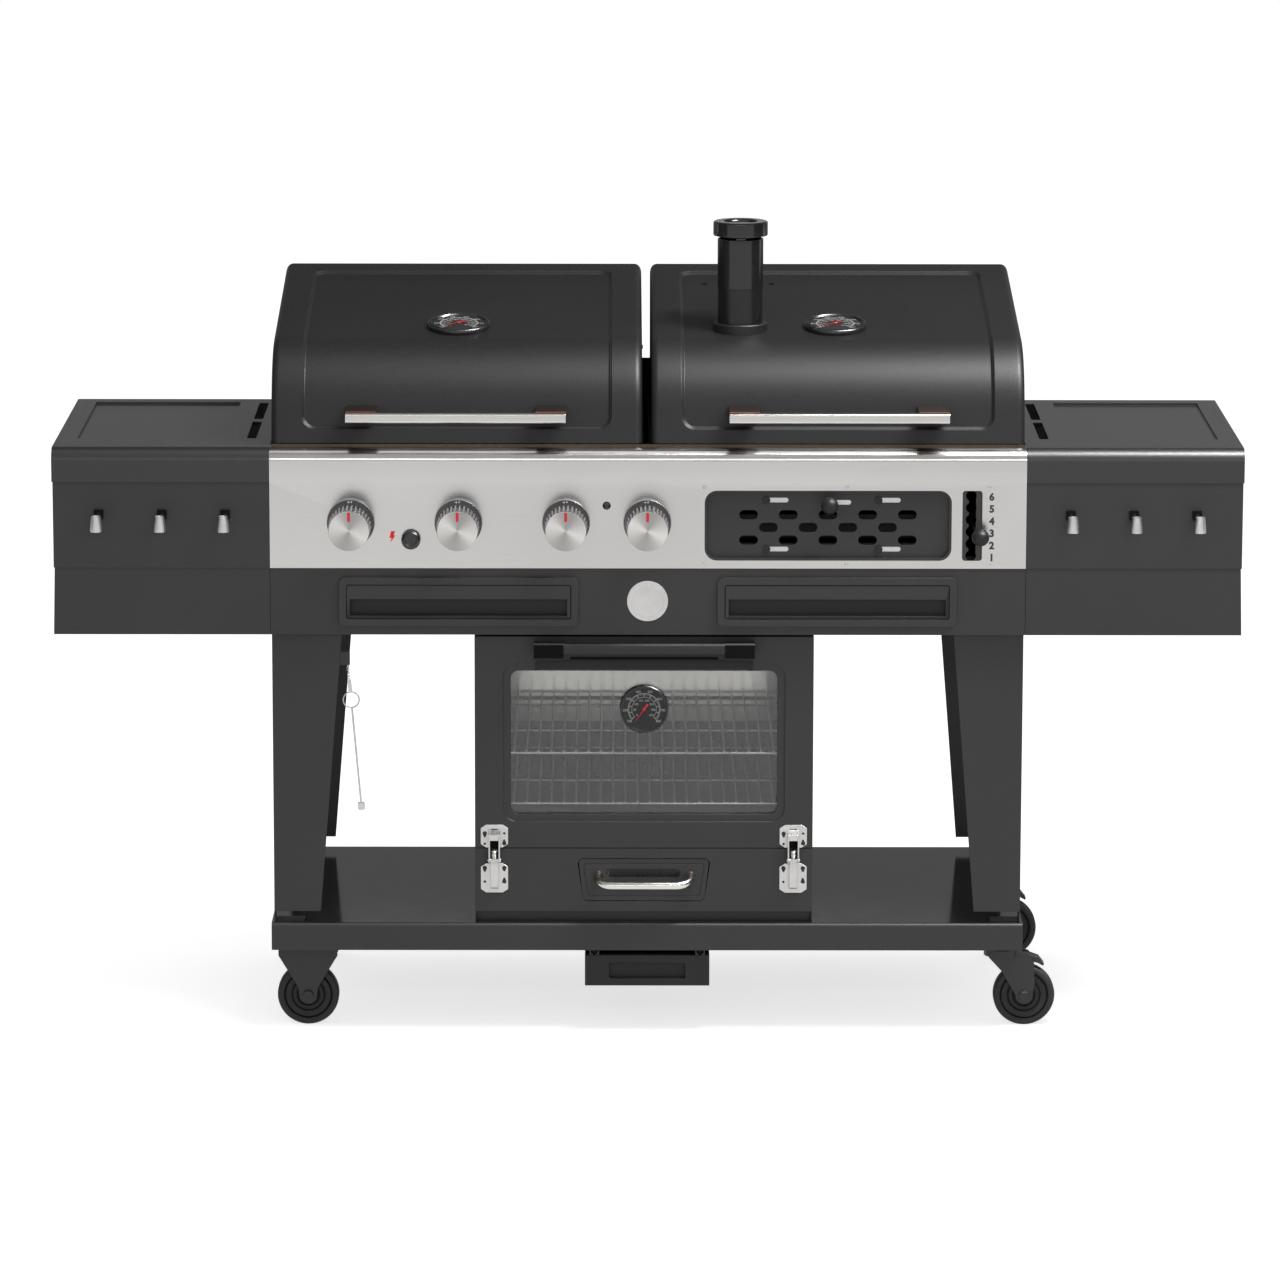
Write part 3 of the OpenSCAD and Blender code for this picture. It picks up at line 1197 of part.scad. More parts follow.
// Match holder: eye, links, clasp, ring, rod and clip, hanging on the leg's pin
module match_holder() placed() color(zinc) {
  y = match_y;
  difference() {
    y_rod(y - 1.5, y + 1.5, match_x, match_z, 4.5);
    y_rod(y - 2, y + 2, match_x, match_z, match_pin_r + pin_gap);
  }
  z_rod(match_z - 40, match_z - 3.8, match_x, y, 1.2);
  block([match_x - 3, y - 3, match_z - 58], [match_x + 3, y + 3, match_z - 38]);
  translate([match_x, y, match_z - 71]) rotate([90, 0, 0])
    rotate_extrude() translate([13.5, 0]) circle(1.2, $fn = 16);
  z_rod(match_z - 250, match_z - 84, match_x, y, 1.5);
  block([match_x - 6, y - 3, match_z - 262], [match_x + 6, y + 3, match_z - 249]);
}

lower_shelf();
shelf_channels();
legs();
side_panels();
back_panel();
left_firebox();
right_firebox();
control_panel();
drawer_apron();
drawer_runners();
side_shelf_tops();
side_shelf_panels();
tool_hooks();
knob_bezels();
vent_plate();
panel_screws();
gas_burners();
flame_tamers();
cooking_grates();
gas_manifold();
smoker_cabinet();
cabinet_lower_panel();
smoker_racks();
hinge_lower_plates();
caddy_rails();
caster_mounts();
left_lid();
left_lid_handle();
left_lid_dial();
right_lid();
right_lid_handle();
right_lid_dial();
chimney();
chimney_cap();
smoker_door();
door_glass();
door_handle();
door_dial();
hinge_arms();
control_knob_1();
control_knob_2();
control_knob_3();
control_knob_4();
igniter_button();
vent_shutter();
lift_lever();
charcoal_tray();
grease_drawer();
ash_drawer();
chip_tray();
caddy();
match_holder();
front_swivel_fork();
rear_swivel_fork();
front_brake_pedal();
rear_brake_pedal();
front_left_wheel();
rear_left_wheel();
front_right_wheel();
rear_right_wheel();
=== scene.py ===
"""Looks of a gas and charcoal grill cart with a glass-door smoker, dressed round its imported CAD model."""

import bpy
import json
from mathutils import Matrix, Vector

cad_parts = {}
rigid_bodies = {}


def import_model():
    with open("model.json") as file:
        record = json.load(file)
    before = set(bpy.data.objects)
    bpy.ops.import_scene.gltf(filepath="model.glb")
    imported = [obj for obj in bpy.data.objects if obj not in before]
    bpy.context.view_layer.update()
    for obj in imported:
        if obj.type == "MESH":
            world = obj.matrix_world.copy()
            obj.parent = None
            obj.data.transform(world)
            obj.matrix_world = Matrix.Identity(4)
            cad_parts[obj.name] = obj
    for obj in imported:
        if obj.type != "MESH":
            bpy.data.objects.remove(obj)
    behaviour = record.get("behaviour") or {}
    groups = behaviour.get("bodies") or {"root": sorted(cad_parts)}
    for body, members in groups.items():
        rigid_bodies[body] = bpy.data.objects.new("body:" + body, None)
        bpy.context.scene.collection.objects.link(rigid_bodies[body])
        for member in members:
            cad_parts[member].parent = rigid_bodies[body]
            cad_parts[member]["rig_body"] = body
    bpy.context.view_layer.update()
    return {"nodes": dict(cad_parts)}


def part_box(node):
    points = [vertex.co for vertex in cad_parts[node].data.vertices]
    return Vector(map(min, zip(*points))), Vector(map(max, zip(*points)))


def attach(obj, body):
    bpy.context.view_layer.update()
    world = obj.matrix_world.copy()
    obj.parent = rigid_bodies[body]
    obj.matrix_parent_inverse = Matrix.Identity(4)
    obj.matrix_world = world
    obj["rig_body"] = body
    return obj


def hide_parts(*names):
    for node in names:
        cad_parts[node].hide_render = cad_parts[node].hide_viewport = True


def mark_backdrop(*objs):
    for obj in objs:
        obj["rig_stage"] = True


bl_info = {
    "name": "Grill cart looks",
    "version": (1, 0, 0),
    "blender": (4, 5, 0),
    "location": "3D View > Sidebar > Grill cart",
    "description": "Dresses the packed grill cart with skins, fittings, finishes and a studio stage",
    "category": "Object",
}

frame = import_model()

import json
import math

import bmesh
import bpy
from bpy.props import FloatProperty, FloatVectorProperty, IntProperty, PointerProperty
from mathutils import Matrix, Vector
from mathutils.bvhtree import BVHTree
from mathutils.geometry import intersect_point_line

# Pieces are drawn in millimetres from the front plane of the side shelves, as the CAD source is
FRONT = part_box("side_shelf_tops")[0].y * 1000
# Width and height of the photograph's frame in pixels
PHOTO = 1280


def linear(code):
    """Linear colour of an sRGB hex value."""
    parts = [int(code[i : i + 2], 16) / 255 for i in (1, 3, 5)]
    return [c / 12.92 if c <= 0.04045 else ((c + 0.055) / 1.055) ** 2.4 for c in parts]


def place(x, y, z):
    """A point of the part's frame, in metres, from the measured millimetres."""
    return Vector((x, y + FRONT, z)) / 1000


def measured(point):
    """The measured millimetres of a point of the part's frame."""
    at = point * 1000
    return Vector((at.x, at.y - FRONT, at.z))


def size(name, about, default, unit="LENGTH"):
    """A setting with a size, in metres or radians."""
    return FloatProperty(name=name, description=about, default=default, unit=unit)


def tint(name, about, code):
    """A setting with a colour, given as an sRGB hex value."""
    return FloatVectorProperty(name=name, description=about, default=linear(code), subtype="COLOR")


# ---------------------------------------------------------------- settings
class GrillFinishSettings(bpy.types.PropertyGroup):
    """Colours of the grill cart's finishes"""

    coat: tint("Powder coat", "Black powder coat of the lids, shelves and legs", "#262627")
    front_coat: tint("Front coat", "Black powder coat of the front panels", "#272727")
    # painted shade: the coat made darker for inner, hidden and shaded sheet metal
    shade_coat: tint("Inner coat", "Darker coat of the inner and hidden sheet metal", "#1a1a1b")
    steel: tint("Brushed steel", "Stainless steel of the control panel", "#b8b6b4")
    zinc: tint("Zinc", "Zinc plate of the hinges and small hardware", "#b4b3b1")
    knob_face: tint("Knob face", "Spun satin metal of the knob faces", "#b9b7b4")
    plastic: tint("Plastic", "Black plastic of the grips and dials", "#1d1d1e")
    tyre: tint("Tyre", "Rubber of the wheels", "#1c1c1d")
    mark: tint("Red mark", "Red paint of the knob marks and needles", "#c8202c")
    ink: tint("Ink", "Dark print of the numerals", "#2b2a29")
    dial_ink: tint("Dial ink", "Grey print on the dials", "#a9a9a7")


class GrillStageSettings(bpy.types.PropertyGroup):
    """Camera and lamps"""

    camera_x: size("Camera x", "Place of the camera from left to right", -0.0503229)
    camera_y: size("Camera y", "Place of the camera from front to back", -10.7923994)
    camera_z: size("Camera z", "Height of the camera", 2.6927)
    yaw: size("Yaw", "Turn of the camera to the left", math.radians(-0.20207605), "ROTATION")
    pitch: size("Pitch", "How far the camera looks down", math.radians(10.79549268), "ROTATION")
    roll: size("Roll", "Tilt of the camera about its own axis", math.radians(0.09813349), "ROTATION")
    lens: FloatProperty(name="Lens", description="Focal length in mm on a 36 mm sensor", default=179.054)
    key: FloatProperty(name="Key power", description="Power of the overhead softbox in watts", default=130.0)
    strip: FloatProperty(name="Strip power",
                         description="Power of the low front strip light in watts", default=26.0)
    fill: FloatProperty(name="Fill", description="Strength of the world on matt surfaces", default=0.62)


class GrillLidSettings(bpy.types.PropertyGroup):
    """Sizes of the lids and their handles"""

    wall: size("Lid wall", "Thickness of the lid's sheet", 0.002)
    dip: size("Panel dip", "Depth of the pressed panel", 0.005)
    panel_round: size("Panel corners", "Corner radius of the pressed panel", 0.022)
    grip: size("Grip round", "Corner radius of the handle bar's section", 0.004)


class GrillFittingSettings(bpy.types.PropertyGroup):
    """Sizes and counts of the small fittings"""

    knob_ribs: IntProperty(name="Knob ribs", description="Ribs round each knob", default=30)
    knob_reach: size("Knob reach", "How far the knobs stand out", 0.088)
    spring_turns: FloatProperty(name="Spring turns", description="Turns of a hinge's spring", default=7.0)
    rack_wires: IntProperty(name="Rack wires", description="Wires of each smoker rack", default=22)
    burner_ports: IntProperty(name="Burner ports",
                              description="Ports along each side of a burner", default=34)


# ---------------------------------------------------------------- finishes
FINISH = {}


def add(tree, kind, inputs=None, **settings):
    """Adds a node with its settings; an input is a value or the output that feeds it."""
    node = tree.nodes.new(kind)
    for name, value in settings.items():
        setattr(node, name, value)
    for name, value in (inputs or {}).items():
        if isinstance(value, bpy.types.NodeSocket):
            tree.links.new(value, node.inputs[name])
        else:
            node.inputs[name].default_value = value
    return node


def finish(name, colour, rough, metal=0.0, level=0.5, ior=1.5, spread=(0.0, 0.0), grain=3.0,
           stretch=(1, 1, 1), bump=0.0, shade=0.0, clouds=0.25, **more):
    """Principled finish whose grain, in mm, varies its shade, its roughness and its surface.

    The grain is drawn longer by stretch along each axis, bump is its height in mm, spread is how far the
    roughness goes below and above rough, and clouds is the size in m of the slow change of shade.
    """
    material = bpy.data.materials.new(name)
    material.use_nodes = True
    tree = material.node_tree
    shader = tree.nodes["Principled BSDF"]
    for socket, value in {"Metallic": metal, "Specular IOR Level": level, **more}.items():
        shader.inputs[socket].default_value = value
    if not metal:
        shader.inputs["IOR"].default_value = ior
    where = add(tree, "ShaderNodeTexCoord").outputs["Object"]
    scaled = add(tree, "ShaderNodeMapping", {"Vector": where, "Scale": [1000 / grain / s for s in stretch]})
    noise = add(tree, "ShaderNodeTexNoise", {"Vector": scaled.outputs["Vector"], "Scale": 1.0,
                "Detail": 3.0, "Roughness": 0.6})
    cloud = add(tree, "ShaderNodeTexNoise", {"Vector": where, "Scale": 1 / clouds, "Detail": 2.0})
    both = add(tree, "ShaderNodeMath", {0: noise.outputs["Fac"], 1: cloud.outputs["Fac"]}, operation="ADD")
    mix = add(tree, "ShaderNodeMapRange", {"Value": both.outputs[0], "From Min": 0.7, "From Max": 1.3})
    low = [c * (1 - shade) for c in list(colour)[:3]] + [1]
    high = [min(1, c * (1 + shade)) for c in list(colour)[:3]] + [1]
    # sockets 6 and 7 of this node are its two colours, and its third output is the mixed one
    base = add(tree, "ShaderNodeMix", {"Factor": mix.outputs["Result"], 6: low, 7: high}, data_type="RGBA")
    tree.links.new(base.outputs[2], shader.inputs["Base Color"])
    polish = add(tree, "ShaderNodeMapRange", {"Value": noise.outputs["Fac"], "From Min": 0.3,
                 "From Max": 0.7, "To Min": rough - spread[0], "To Max": rough + spread[1]})
    tree.links.new(polish.outputs["Result"], shader.inputs["Roughness"])
    if bump:
        relief = add(tree, "ShaderNodeBump", {"Height": noise.outputs["Fac"], "Distance": bump / 1000,
                     "Strength": 1.0})
        tree.links.new(relief.outputs["Normal"], shader.inputs["Normal"])
    FINISH[name] = material
    return material


def painted_wedge_shine(tree):
    """Painted reflection: two bright and two dark wedges in the colour, by the angle about the face's own
    middle, like those that turned metal shows.
    """
    shader = tree.nodes["Principled BSDF"]
    rings = add(tree, "ShaderNodeTangent", direction_type="RADIAL", axis="Y")
    tree.links.new(rings.outputs["Tangent"], shader.inputs["Tangent"])
    where = add(tree, "ShaderNodeUVMap", uv_map="from_middle").outputs["UV"]
    axes = add(tree, "ShaderNodeSeparateXYZ", {0: where})
    angle = add(tree, "ShaderNodeMath", {0: axes.outputs["Y"], 1: axes.outputs["X"]}, operation="ARCTAN2")
    twice = add(tree, "ShaderNodeMath", {0: angle.outputs[0], 1: 2.0, 2: 0.5}, operation="MULTIPLY_ADD")
    wave = add(tree, "ShaderNodeMath", {0: twice.outputs[0]}, operation="COSINE")
    shine = add(tree, "ShaderNodeMapRange", {"Value": wave.outputs[0], "From Min": -1.0, "From Max": 1.0,
                "To Min": 0.62, "To Max": 1.0})
    plain = shader.inputs["Base Color"].links[0].from_socket
    # scales the colour by the wedges: painted reflection
    wedge = add(tree, "ShaderNodeVectorMath", {0: plain, "Scale": shine.outputs[0]}, operation="SCALE")
    tree.links.new(wedge.outputs[0], shader.inputs["Base Color"])


def let_shadow_through(tree, code):
    """Lets light pass the pane straight on its way to what the pane shades."""
    clear = add(tree, "ShaderNodeBsdfTransparent", {"Color": linear(code) + [1]})
    rays = add(tree, "ShaderNodeLightPath")
    glassy = tree.nodes["Principled BSDF"]
    lets = add(tree, "ShaderNodeMixShader", {0: rays.outputs["Is Shadow Ray"], 1: glassy.outputs[0],
               2: clear.outputs[0]})
    tree.links.new(lets.outputs[0], tree.nodes["Material Output"].inputs["Surface"])


def mix_finishes():
    """Makes every finish from the settings' colours."""
    tone = bpy.context.scene.grill_finish
    # Polyester powder coat, baked on sheet steel: a soft sheen over a fine pebbled skin. The real
    # pebbles are about 0.5 mm, drawn at 3 mm so that they show
    # on the lids the coat's colour is darker than on the shelves: painted shade
    finish("powder_coat_lid", linear("#1d1d1e"), 0.48, level=0.24, spread=(0.05, 0.06), grain=3.0,
           stretch=(1, 1, 1.6), bump=0.16, shade=0.14)
    # The same coat, smoother, on the side shelves: their tops mirror the light behind them faintly
    finish("powder_coat_black", tone.coat, 0.36, level=0.42, spread=(0.05, 0.06), grain=2.6,
           stretch=(1, 1, 3), bump=0.05, shade=0.10)
    # The same coat on upright panels and legs: matt, with pebbles that run a little down the sheet
    finish("powder_coat_front", tone.front_coat, 0.5, level=0.36, spread=(0.05, 0.05), grain=2.6,
           stretch=(1, 1, 4), bump=0.05, shade=0.10)
    # The same coat, painted darker as shade, on inner, hidden and shaded sheet metal: darker and flatter
    finish("powder_coat_dark", tone.shade_coat, 0.5, level=0.25, spread=(0.05, 0.05), grain=3.0,
           bump=0.05, shade=0.10)
    # Gloss enamel of the lower shelf: clear mirrored legs under a dark body
    finish("gloss_enamel", tone.coat, 0.10, level=0.35, spread=(0.02, 0.03), grain=40.0, shade=0.05)
    # Gloss enamel of the flue: tall soft reflections; the pipe's lower part takes a darker, duller copy as
    # painted shade
    finish("flue_enamel", linear("#151516"), 0.16, level=0.5, spread=(0.03, 0.04), grain=12.0,
           shade=0.06)
    finish("flue_enamel_shaded", tone.shade_coat, 0.22, level=0.3, spread=(0.03, 0.04), grain=12.0,
           shade=0.06)
    # Stainless sheet brushed along the front: light drawn out into long level streaks. The scratches
    # are 0.1 mm, drawn 1.1 mm high and 90 mm long so that they show
    finish("brushed_stainless", tone.steel, 0.19, metal=1.0, spread=(0.04, 0.06), grain=1.1,
           stretch=(80, 80, 1), bump=0.012, shade=0.06, clouds=0.6)
    # Bright rolled bar of the lid handles, drawn along its length: one long clean highlight
    finish("polished_bar", linear("#bcbab6"), 0.18, metal=1.0, spread=(0.03, 0.05), grain=1.5,
           stretch=(60, 1, 1), bump=0.006, shade=0.05)
    # Zinc-plated pressings: pale, a little cloudy, with blurred reflections
    finish("zinc_plate", tone.zinc, 0.34, metal=1.0, spread=(0.06, 0.08), grain=5.0, bump=0.01,
           shade=0.08, clouds=0.03)
    # Chromed rod: a near mirror
    finish("chrome", linear("#c4c2bd"), 0.16, metal=1.0, spread=(0.02, 0.03), grain=20.0, shade=0.02)
    # Spun aluminium: fine turned rings that pull reflections into wedges, and a painted reflection of bright
    # and dark wedges in its colour
    spun = finish("spun_satin", tone.knob_face, 0.30, metal=1.0, spread=(0.03, 0.04), grain=1.2,
                  bump=0.004, shade=0.03, Anisotropic=0.75)
    painted_wedge_shine(spun.node_tree)
    # Nickel-plated wire of the racks: dull grey with soft glints
    finish("nickel_wire", linear("#7f7e7b"), 0.30, metal=1.0, spread=(0.05, 0.1), grain=6.0, shade=0.12)
    # Aluminised steel lining of the smoking chamber, rolled along its length: softly mirrored
    finish("aluminised_lining", linear("#a3a19d"), 0.15, metal=1.0, spread=(0.02, 0.03), grain=2.0,
           stretch=(60, 60, 1), bump=0.003, shade=0.08, clouds=0.6)
    # Cast iron under matt enamel: rough to the eye, with hardly a highlight
    finish("cast_iron", linear("#22211f"), 0.62, level=0.35, spread=(0.08, 0.1), grain=1.8, bump=0.12,
           shade=0.2)
    # Stainless burner tubes and tamers: a warm cloudy cast from heat
    finish("heat_tinted_steel", linear("#8d877d"), 0.38, metal=1.0, spread=(0.08, 0.1), grain=10.0,
           shade=0.15, clouds=0.08)
    # Steel bronzed in an oil bath, of the handles' stand-offs: brown with a metal sheen
    finish("bronzed_steel", linear("#4a4035"), 0.35, metal=1.0, spread=(0.04, 0.05), grain=4.0,
           shade=0.10)
    # Pressed fibre washer: flat red-brown
    finish("fibre_washer", linear("#8a2a22"), 0.7, level=0.3, grain=1.5, bump=0.03, shade=0.15)
    # Phenolic, pressed in a mould: even black with a low sheen
    finish("phenolic_ball", linear("#242425"), 0.45, level=0.2, spread=(0.03, 0.03), grain=8.0,
           shade=0.05)
    # Textured ABS grip: matt, with a grain of about 1.6 mm
    finish("moulded_grip", tone.plastic, 0.5, level=0.4, spread=(0.06, 0.06), grain=1.6, bump=0.06,
           shade=0.12)
    # Smooth ABS case of the thermometers: one crisp highlight round the rim
    finish("dial_case", tone.plastic, 0.28, level=0.5, spread=(0.03, 0.04), grain=8.0, shade=0.05)
    # Printed card of the thermometers: flat near-black
    finish("dial_card", linear("#262626"), 0.55, level=0.25, grain=4.0, shade=0.06)
    # Painted steel ring behind each knob: mid grey, half gloss
    finish("painted_bezel", linear("#6a6a6c"), 0.36, level=0.6, spread=(0.04, 0.05), grain=2.0,
           bump=0.02, shade=0.08)
    # Painted shade in the smoking chamber and the chip tray's pocket: near-black sheet with blurred
    # reflections
    finish("painted_shade_liner", linear("#111112"), 0.3, level=0.25, spread=(0.04, 0.05), grain=5.0,
           shade=0.08)
    # Painted shade: near-black matt colour put in recesses, slots, grooves and ports, and under and behind
    # the grip, hinges and hooks, where shade falls
    finish("painted_shade_black", linear("#060606"), 0.8, level=0.1, grain=4.0, shade=0.1)
    # Vulcanised rubber: matt with a faint bloom
    finish("rubber_tyre", tone.tyre, 0.62, level=0.35, spread=(0.06, 0.08), grain=3.5, bump=0.05,
           shade=0.12)
    # Black passivated steel of the caster forks: half gloss
    finish("caster_steel", linear("#1e1e1f"), 0.42, level=0.4, spread=(0.05, 0.05), grain=3.0,
           bump=0.03, shade=0.10)
    # Moulded nylon of the knobs: black barrels, and ribs of the same nylon made paler as a painted highlight,
    # with a wet-looking gloss
    finish("moulded_nylon", linear("#0d0d0d"), 0.4, level=0.4, spread=(0.05, 0.05), grain=4.0,
           shade=0.08)
    finish("highlit_rib_nylon", linear("#3a3938"), 0.22, level=0.9, spread=(0.03, 0.04), grain=6.0,
           shade=0.08)
    # Phosphated steel rails under the shelf: grey with a green cast
    finish("phosphated_steel", linear("#4c5250"), 0.45, level=0.4, spread=(0.05, 0.05), grain=4.0,
           shade=0.08)
    # Enamel paint of the knob marks and needles, and screen-printed inks: flat colour, no relief
    finish("red_enamel", tone.mark, 0.4, level=0.4, grain=3.0, shade=0.06)
    finish("red_print", linear("#e2231f"), 0.5, level=0.3, grain=3.0, shade=0.04)
    finish("dark_print", tone.ink, 0.6, level=0.3, grain=2.0, shade=0.06)
    finish("grey_print", tone.dial_ink, 0.6, level=0.3, grain=2.0, shade=0.06)
    finish("pale_print", linear("#e6e6e4"), 0.6, level=0.3, grain=2.0, shade=0.04)
    # Tempered soda-lime glass, 4 mm, rolled and fire-polished: clear, with a trace of smoke grey
    pane = finish("oven_glass", linear("#f7f8f8"), 0.02, level=0.5, ior=1.45, grain=60.0, shade=0.01,
                  **{"Transmission Weight": 1.0})
    let_shadow_through(pane.node_tree, "#f2f4f4")


# ---------------------------------------------------------------- making meshes
# Points nearer than this, in metres, are one; and how a softened edge is cut
WELD = 1e-6
EDGE_STEPS, EDGE_ANGLE = 2, math.radians(40)


def smoothed(mesh, angle):
    """Shades a mesh smooth but for edges sharper than an angle in degrees."""
    mesh.shade_smooth()
    mesh.set_sharp_from_angle(angle=math.radians(angle))


def settle(obj, name):
    """Turns an object and its modifiers into a plain mesh at the origin."""
    graph = bpy.context.evaluated_depsgraph_get()
    graph.update()
    mesh = bpy.data.meshes.new_from_object(obj.evaluated_get(graph),
                                           preserve_all_data_layers=True, depsgraph=graph)
    obj.modifiers.clear()
    old = obj.data
    bpy.data.objects.remove(obj)
    if isinstance(old, bpy.types.Mesh) and not old.users:
        bpy.data.meshes.remove(old)
    mesh.name = name
    plain = bpy.data.objects.new(name, mesh)
    bpy.context.collection.objects.link(plain)
    return plain


def rounded_rect(low, high, radius, steps=6):
    """Outline of a rectangle with round corners, anticlockwise."""
    out = []
    centres = [(high[0] - radius, high[1] - radius), (low[0] + radius, high[1] - radius),
               (low[0] + radius, low[1] + radius), (high[0] - radius, low[1] + radius)]
    for corner, (cx, cy) in enumerate(centres):
        for i in range(steps + 1):
            t = math.pi / 2 * (corner + i / steps)
            out.append((cx + radius * math.cos(t), cy + radius * math.sin(t)))
    return out


def disc(cx, cy, radius, steps=24):
    """Outline of a circle, anticlockwise."""
    return [(cx + radius * math.cos(math.tau * i / steps), cy + radius * math.sin(math.tau * i / steps))
            for i in range(steps)]


# Where an outline's two measures and the place along its axis go
AXES = {"x": lambda u, v, a: (a, u, v), "y": lambda u, v, a: (u, a, v), "z": lambda u, v, a: (u, v, a)}


class Shape:
    """Points and faces of one piece in measured millimetres, with a finish number for each face."""

    def __init__(self):
        self.points, self.faces, self.kinds = [], [], []

    def join(self, points, faces, kind=0):
        """Adds points and faces with one finish."""
        base = len(self.points)
        self.points += [Vector(p) for p in points]
        self.faces += [[base + i for i in face] for face in faces]
        self.kinds += [kind] * len(faces)

    def lathe(self, profile, centre, axis="y", steps=48, kind=0, ring=False):
        """Turns (radius, distance) pairs about an axis; a ring's profile is closed on itself."""
        rows, points, faces = [], [], []
        for radius, along in profile:
            count = 1 if radius < 1e-6 else steps
            rows.append([len(points) + i for i in range(count)])
            for i in range(count):
                t = math.tau * i / steps
                at = AXES[axis](radius * math.cos(t), radius * math.sin(t), along)
                points.append(Vector(at) + Vector(centre))
        pairs = list(zip(rows, rows[1:])) + ([(rows[-1], rows[0])] if ring else [])
        for one, two in pairs:
            for i in range(steps):
                j = (i + 1) % steps
                face = [one[i % len(one)], one[j % len(one)], two[j % len(two)], two[i % len(two)]]
                face = list(dict.fromkeys(face))
                if len(face) > 2:
                    faces.append(face)
        self.join(points, faces, kind)

    def prism(self, outline, low, high, axis="y", kind=0, holes=()):
        """Draws an outline out between two places on an axis, with holes left through it."""
        bm = bmesh.new()
        loops = []
        for loop in [outline, *holes]:
            ring = [bm.verts.new(AXES[axis](u, v, low)) for u, v in loop]
            loops += [bm.edges.new((a, b)) for a, b in zip(ring, ring[1:] + ring[:1])]
        if holes:
            bmesh.ops.triangle_fill(bm, use_beauty=True, use_dissolve=False, edges=loops)
        else:
            bm.faces.new(bm.verts)
        grown = bmesh.ops.extrude_face_region(bm, geom=bm.faces[:])
        moved = [g for g in grown["geom"] if isinstance(g, bmesh.types.BMVert)]
        bmesh.ops.translate(bm, verts=moved, vec=Vector(AXES[axis](0, 0, high - low)))
        bmesh.ops.recalc_face_normals(bm, faces=bm.faces)
        bm.verts.index_update()
        self.join([v.co.copy() for v in bm.verts], [[v.index for v in f.verts] for f in bm.faces], kind)
        bm.free()

    def box(self, low, high, kind=0):
        """Adds a block between two corners."""
        self.prism([(low[0], low[2]), (high[0], low[2]), (high[0], high[2]), (low[0], high[2])],
                   low[1], high[1], "y", kind)

    def turned(self, matrix):
        """Moves all that is drawn so far."""
        self.points = [matrix @ p for p in self.points]

    def mesh(self, name, finishes):
        """Welds what is drawn into a mesh in metres whose faces point outwards."""
        mesh = bpy.data.meshes.new(name)
        mesh.from_pydata([place(*p) for p in self.points], [], self.faces)
        for f in finishes:
            mesh.materials.append(FINISH[f])
        mesh.polygons.foreach_set("material_index", self.kinds)
        bm = bmesh.new()
        bm.from_mesh(mesh)
        bmesh.ops.remove_doubles(bm, verts=bm.verts, dist=WELD)
        bmesh.ops.recalc_face_normals(bm, faces=bm.faces)
        bm.to_mesh(mesh)
        bm.free()
        return mesh

    def piece(self, name, body, finishes, slot, stands_for=(), edge=0.0, smooth=35):
        """Makes the piece, rounds its edges by a width in mm, and lets it ride on its body."""
        obj = bpy.data.objects.new(name, self.mesh(name, finishes))
        return dressed(obj, name, body, stands_for, edge, smooth)


def dressed(obj, name, body, stands_for=(), edge=0.0, smooth=35):
    """Rounds and shades a piece, and puts it on its body."""
    bpy.context.collection.objects.link(obj)
    smoothed(obj.data, smooth)
    if edge:
        soft = obj.modifiers.new("edges", "BEVEL")
        soft.width = edge / 1000
        soft.segments = EDGE_STEPS
        soft.limit_method = "ANGLE"
        soft.angle_limit = EDGE_ANGLE
        soft.use_clamp_overlap = True
    even = obj.modifiers.new("even", "WEIGHTED_NORMAL")
    even.keep_sharp = not edge
    plain = settle(obj, name)
    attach(plain, body)
    if stands_for:
        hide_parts(*stands_for)
    return plain


def carried(node, finishes, edge, smooth, name=None):
    """A smooth, edge-rounded copy of a CAD node, which stands for it on its body."""
    name = name or node + "_skin"
    source = frame["nodes"][node]
    bm = bmesh.new()
    bm.from_mesh(source.data)
    bmesh.ops.remove_doubles(bm, verts=bm.verts, dist=2 * WELD)
    bmesh.ops.dissolve_limit(bm, angle_limit=math.radians(0.4), verts=bm.verts, edges=bm.edges)
    mesh = bpy.data.meshes.new(name)
    bm.to_mesh(mesh)
    bm.free()
    mesh.materials.clear()
    for f in finishes:
        mesh.materials.append(FINISH[f])
    mesh.polygons.foreach_set("material_index", [0] * len(mesh.polygons))
    return dressed(bpy.data.objects.new(name, mesh), name, source["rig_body"], [node], edge, smooth)


def painted(node, finish_name):
    """Gives a CAD node that stays its finish."""
    obj = frame["nodes"][node]
    for held in obj.material_slots or []:
        held.material = FINISH[finish_name]
    if not obj.material_slots:
        obj.data.materials.append(FINISH[finish_name])


# ---------------------------------------------------------------- geometry nodes
def new_tree(name, inputs):
    """A tree with named inputs, and the outputs of its input node by name."""
    tree = bpy.data.node_groups.new(name, "GeometryNodeTree")
    for label, kind, value in inputs:
        socket = tree.interface.new_socket(label, in_out="INPUT", socket_type="NodeSocket" + kind)
        if value is not None:
            socket.default_value = value
    tree.interface.new_socket("Geometry", in_out="OUTPUT", socket_type="NodeSocketGeometry")
    source = add(tree, "NodeGroupInput")
    return tree, {item.name: item for item in source.outputs if item.name}


def close_tree(tree, geometry, given):
    """Ends a tree in real geometry with its finish."""
    real = add(tree, "GeometryNodeRealizeInstances", {"Geometry": geometry})
    faced = add(tree, "GeometryNodeSetMaterial", {"Geometry": real.outputs[0], "Material": given["Finish"]})
    add(tree, "NodeGroupOutput", {"Geometry": faced.outputs[0]})
    return tree


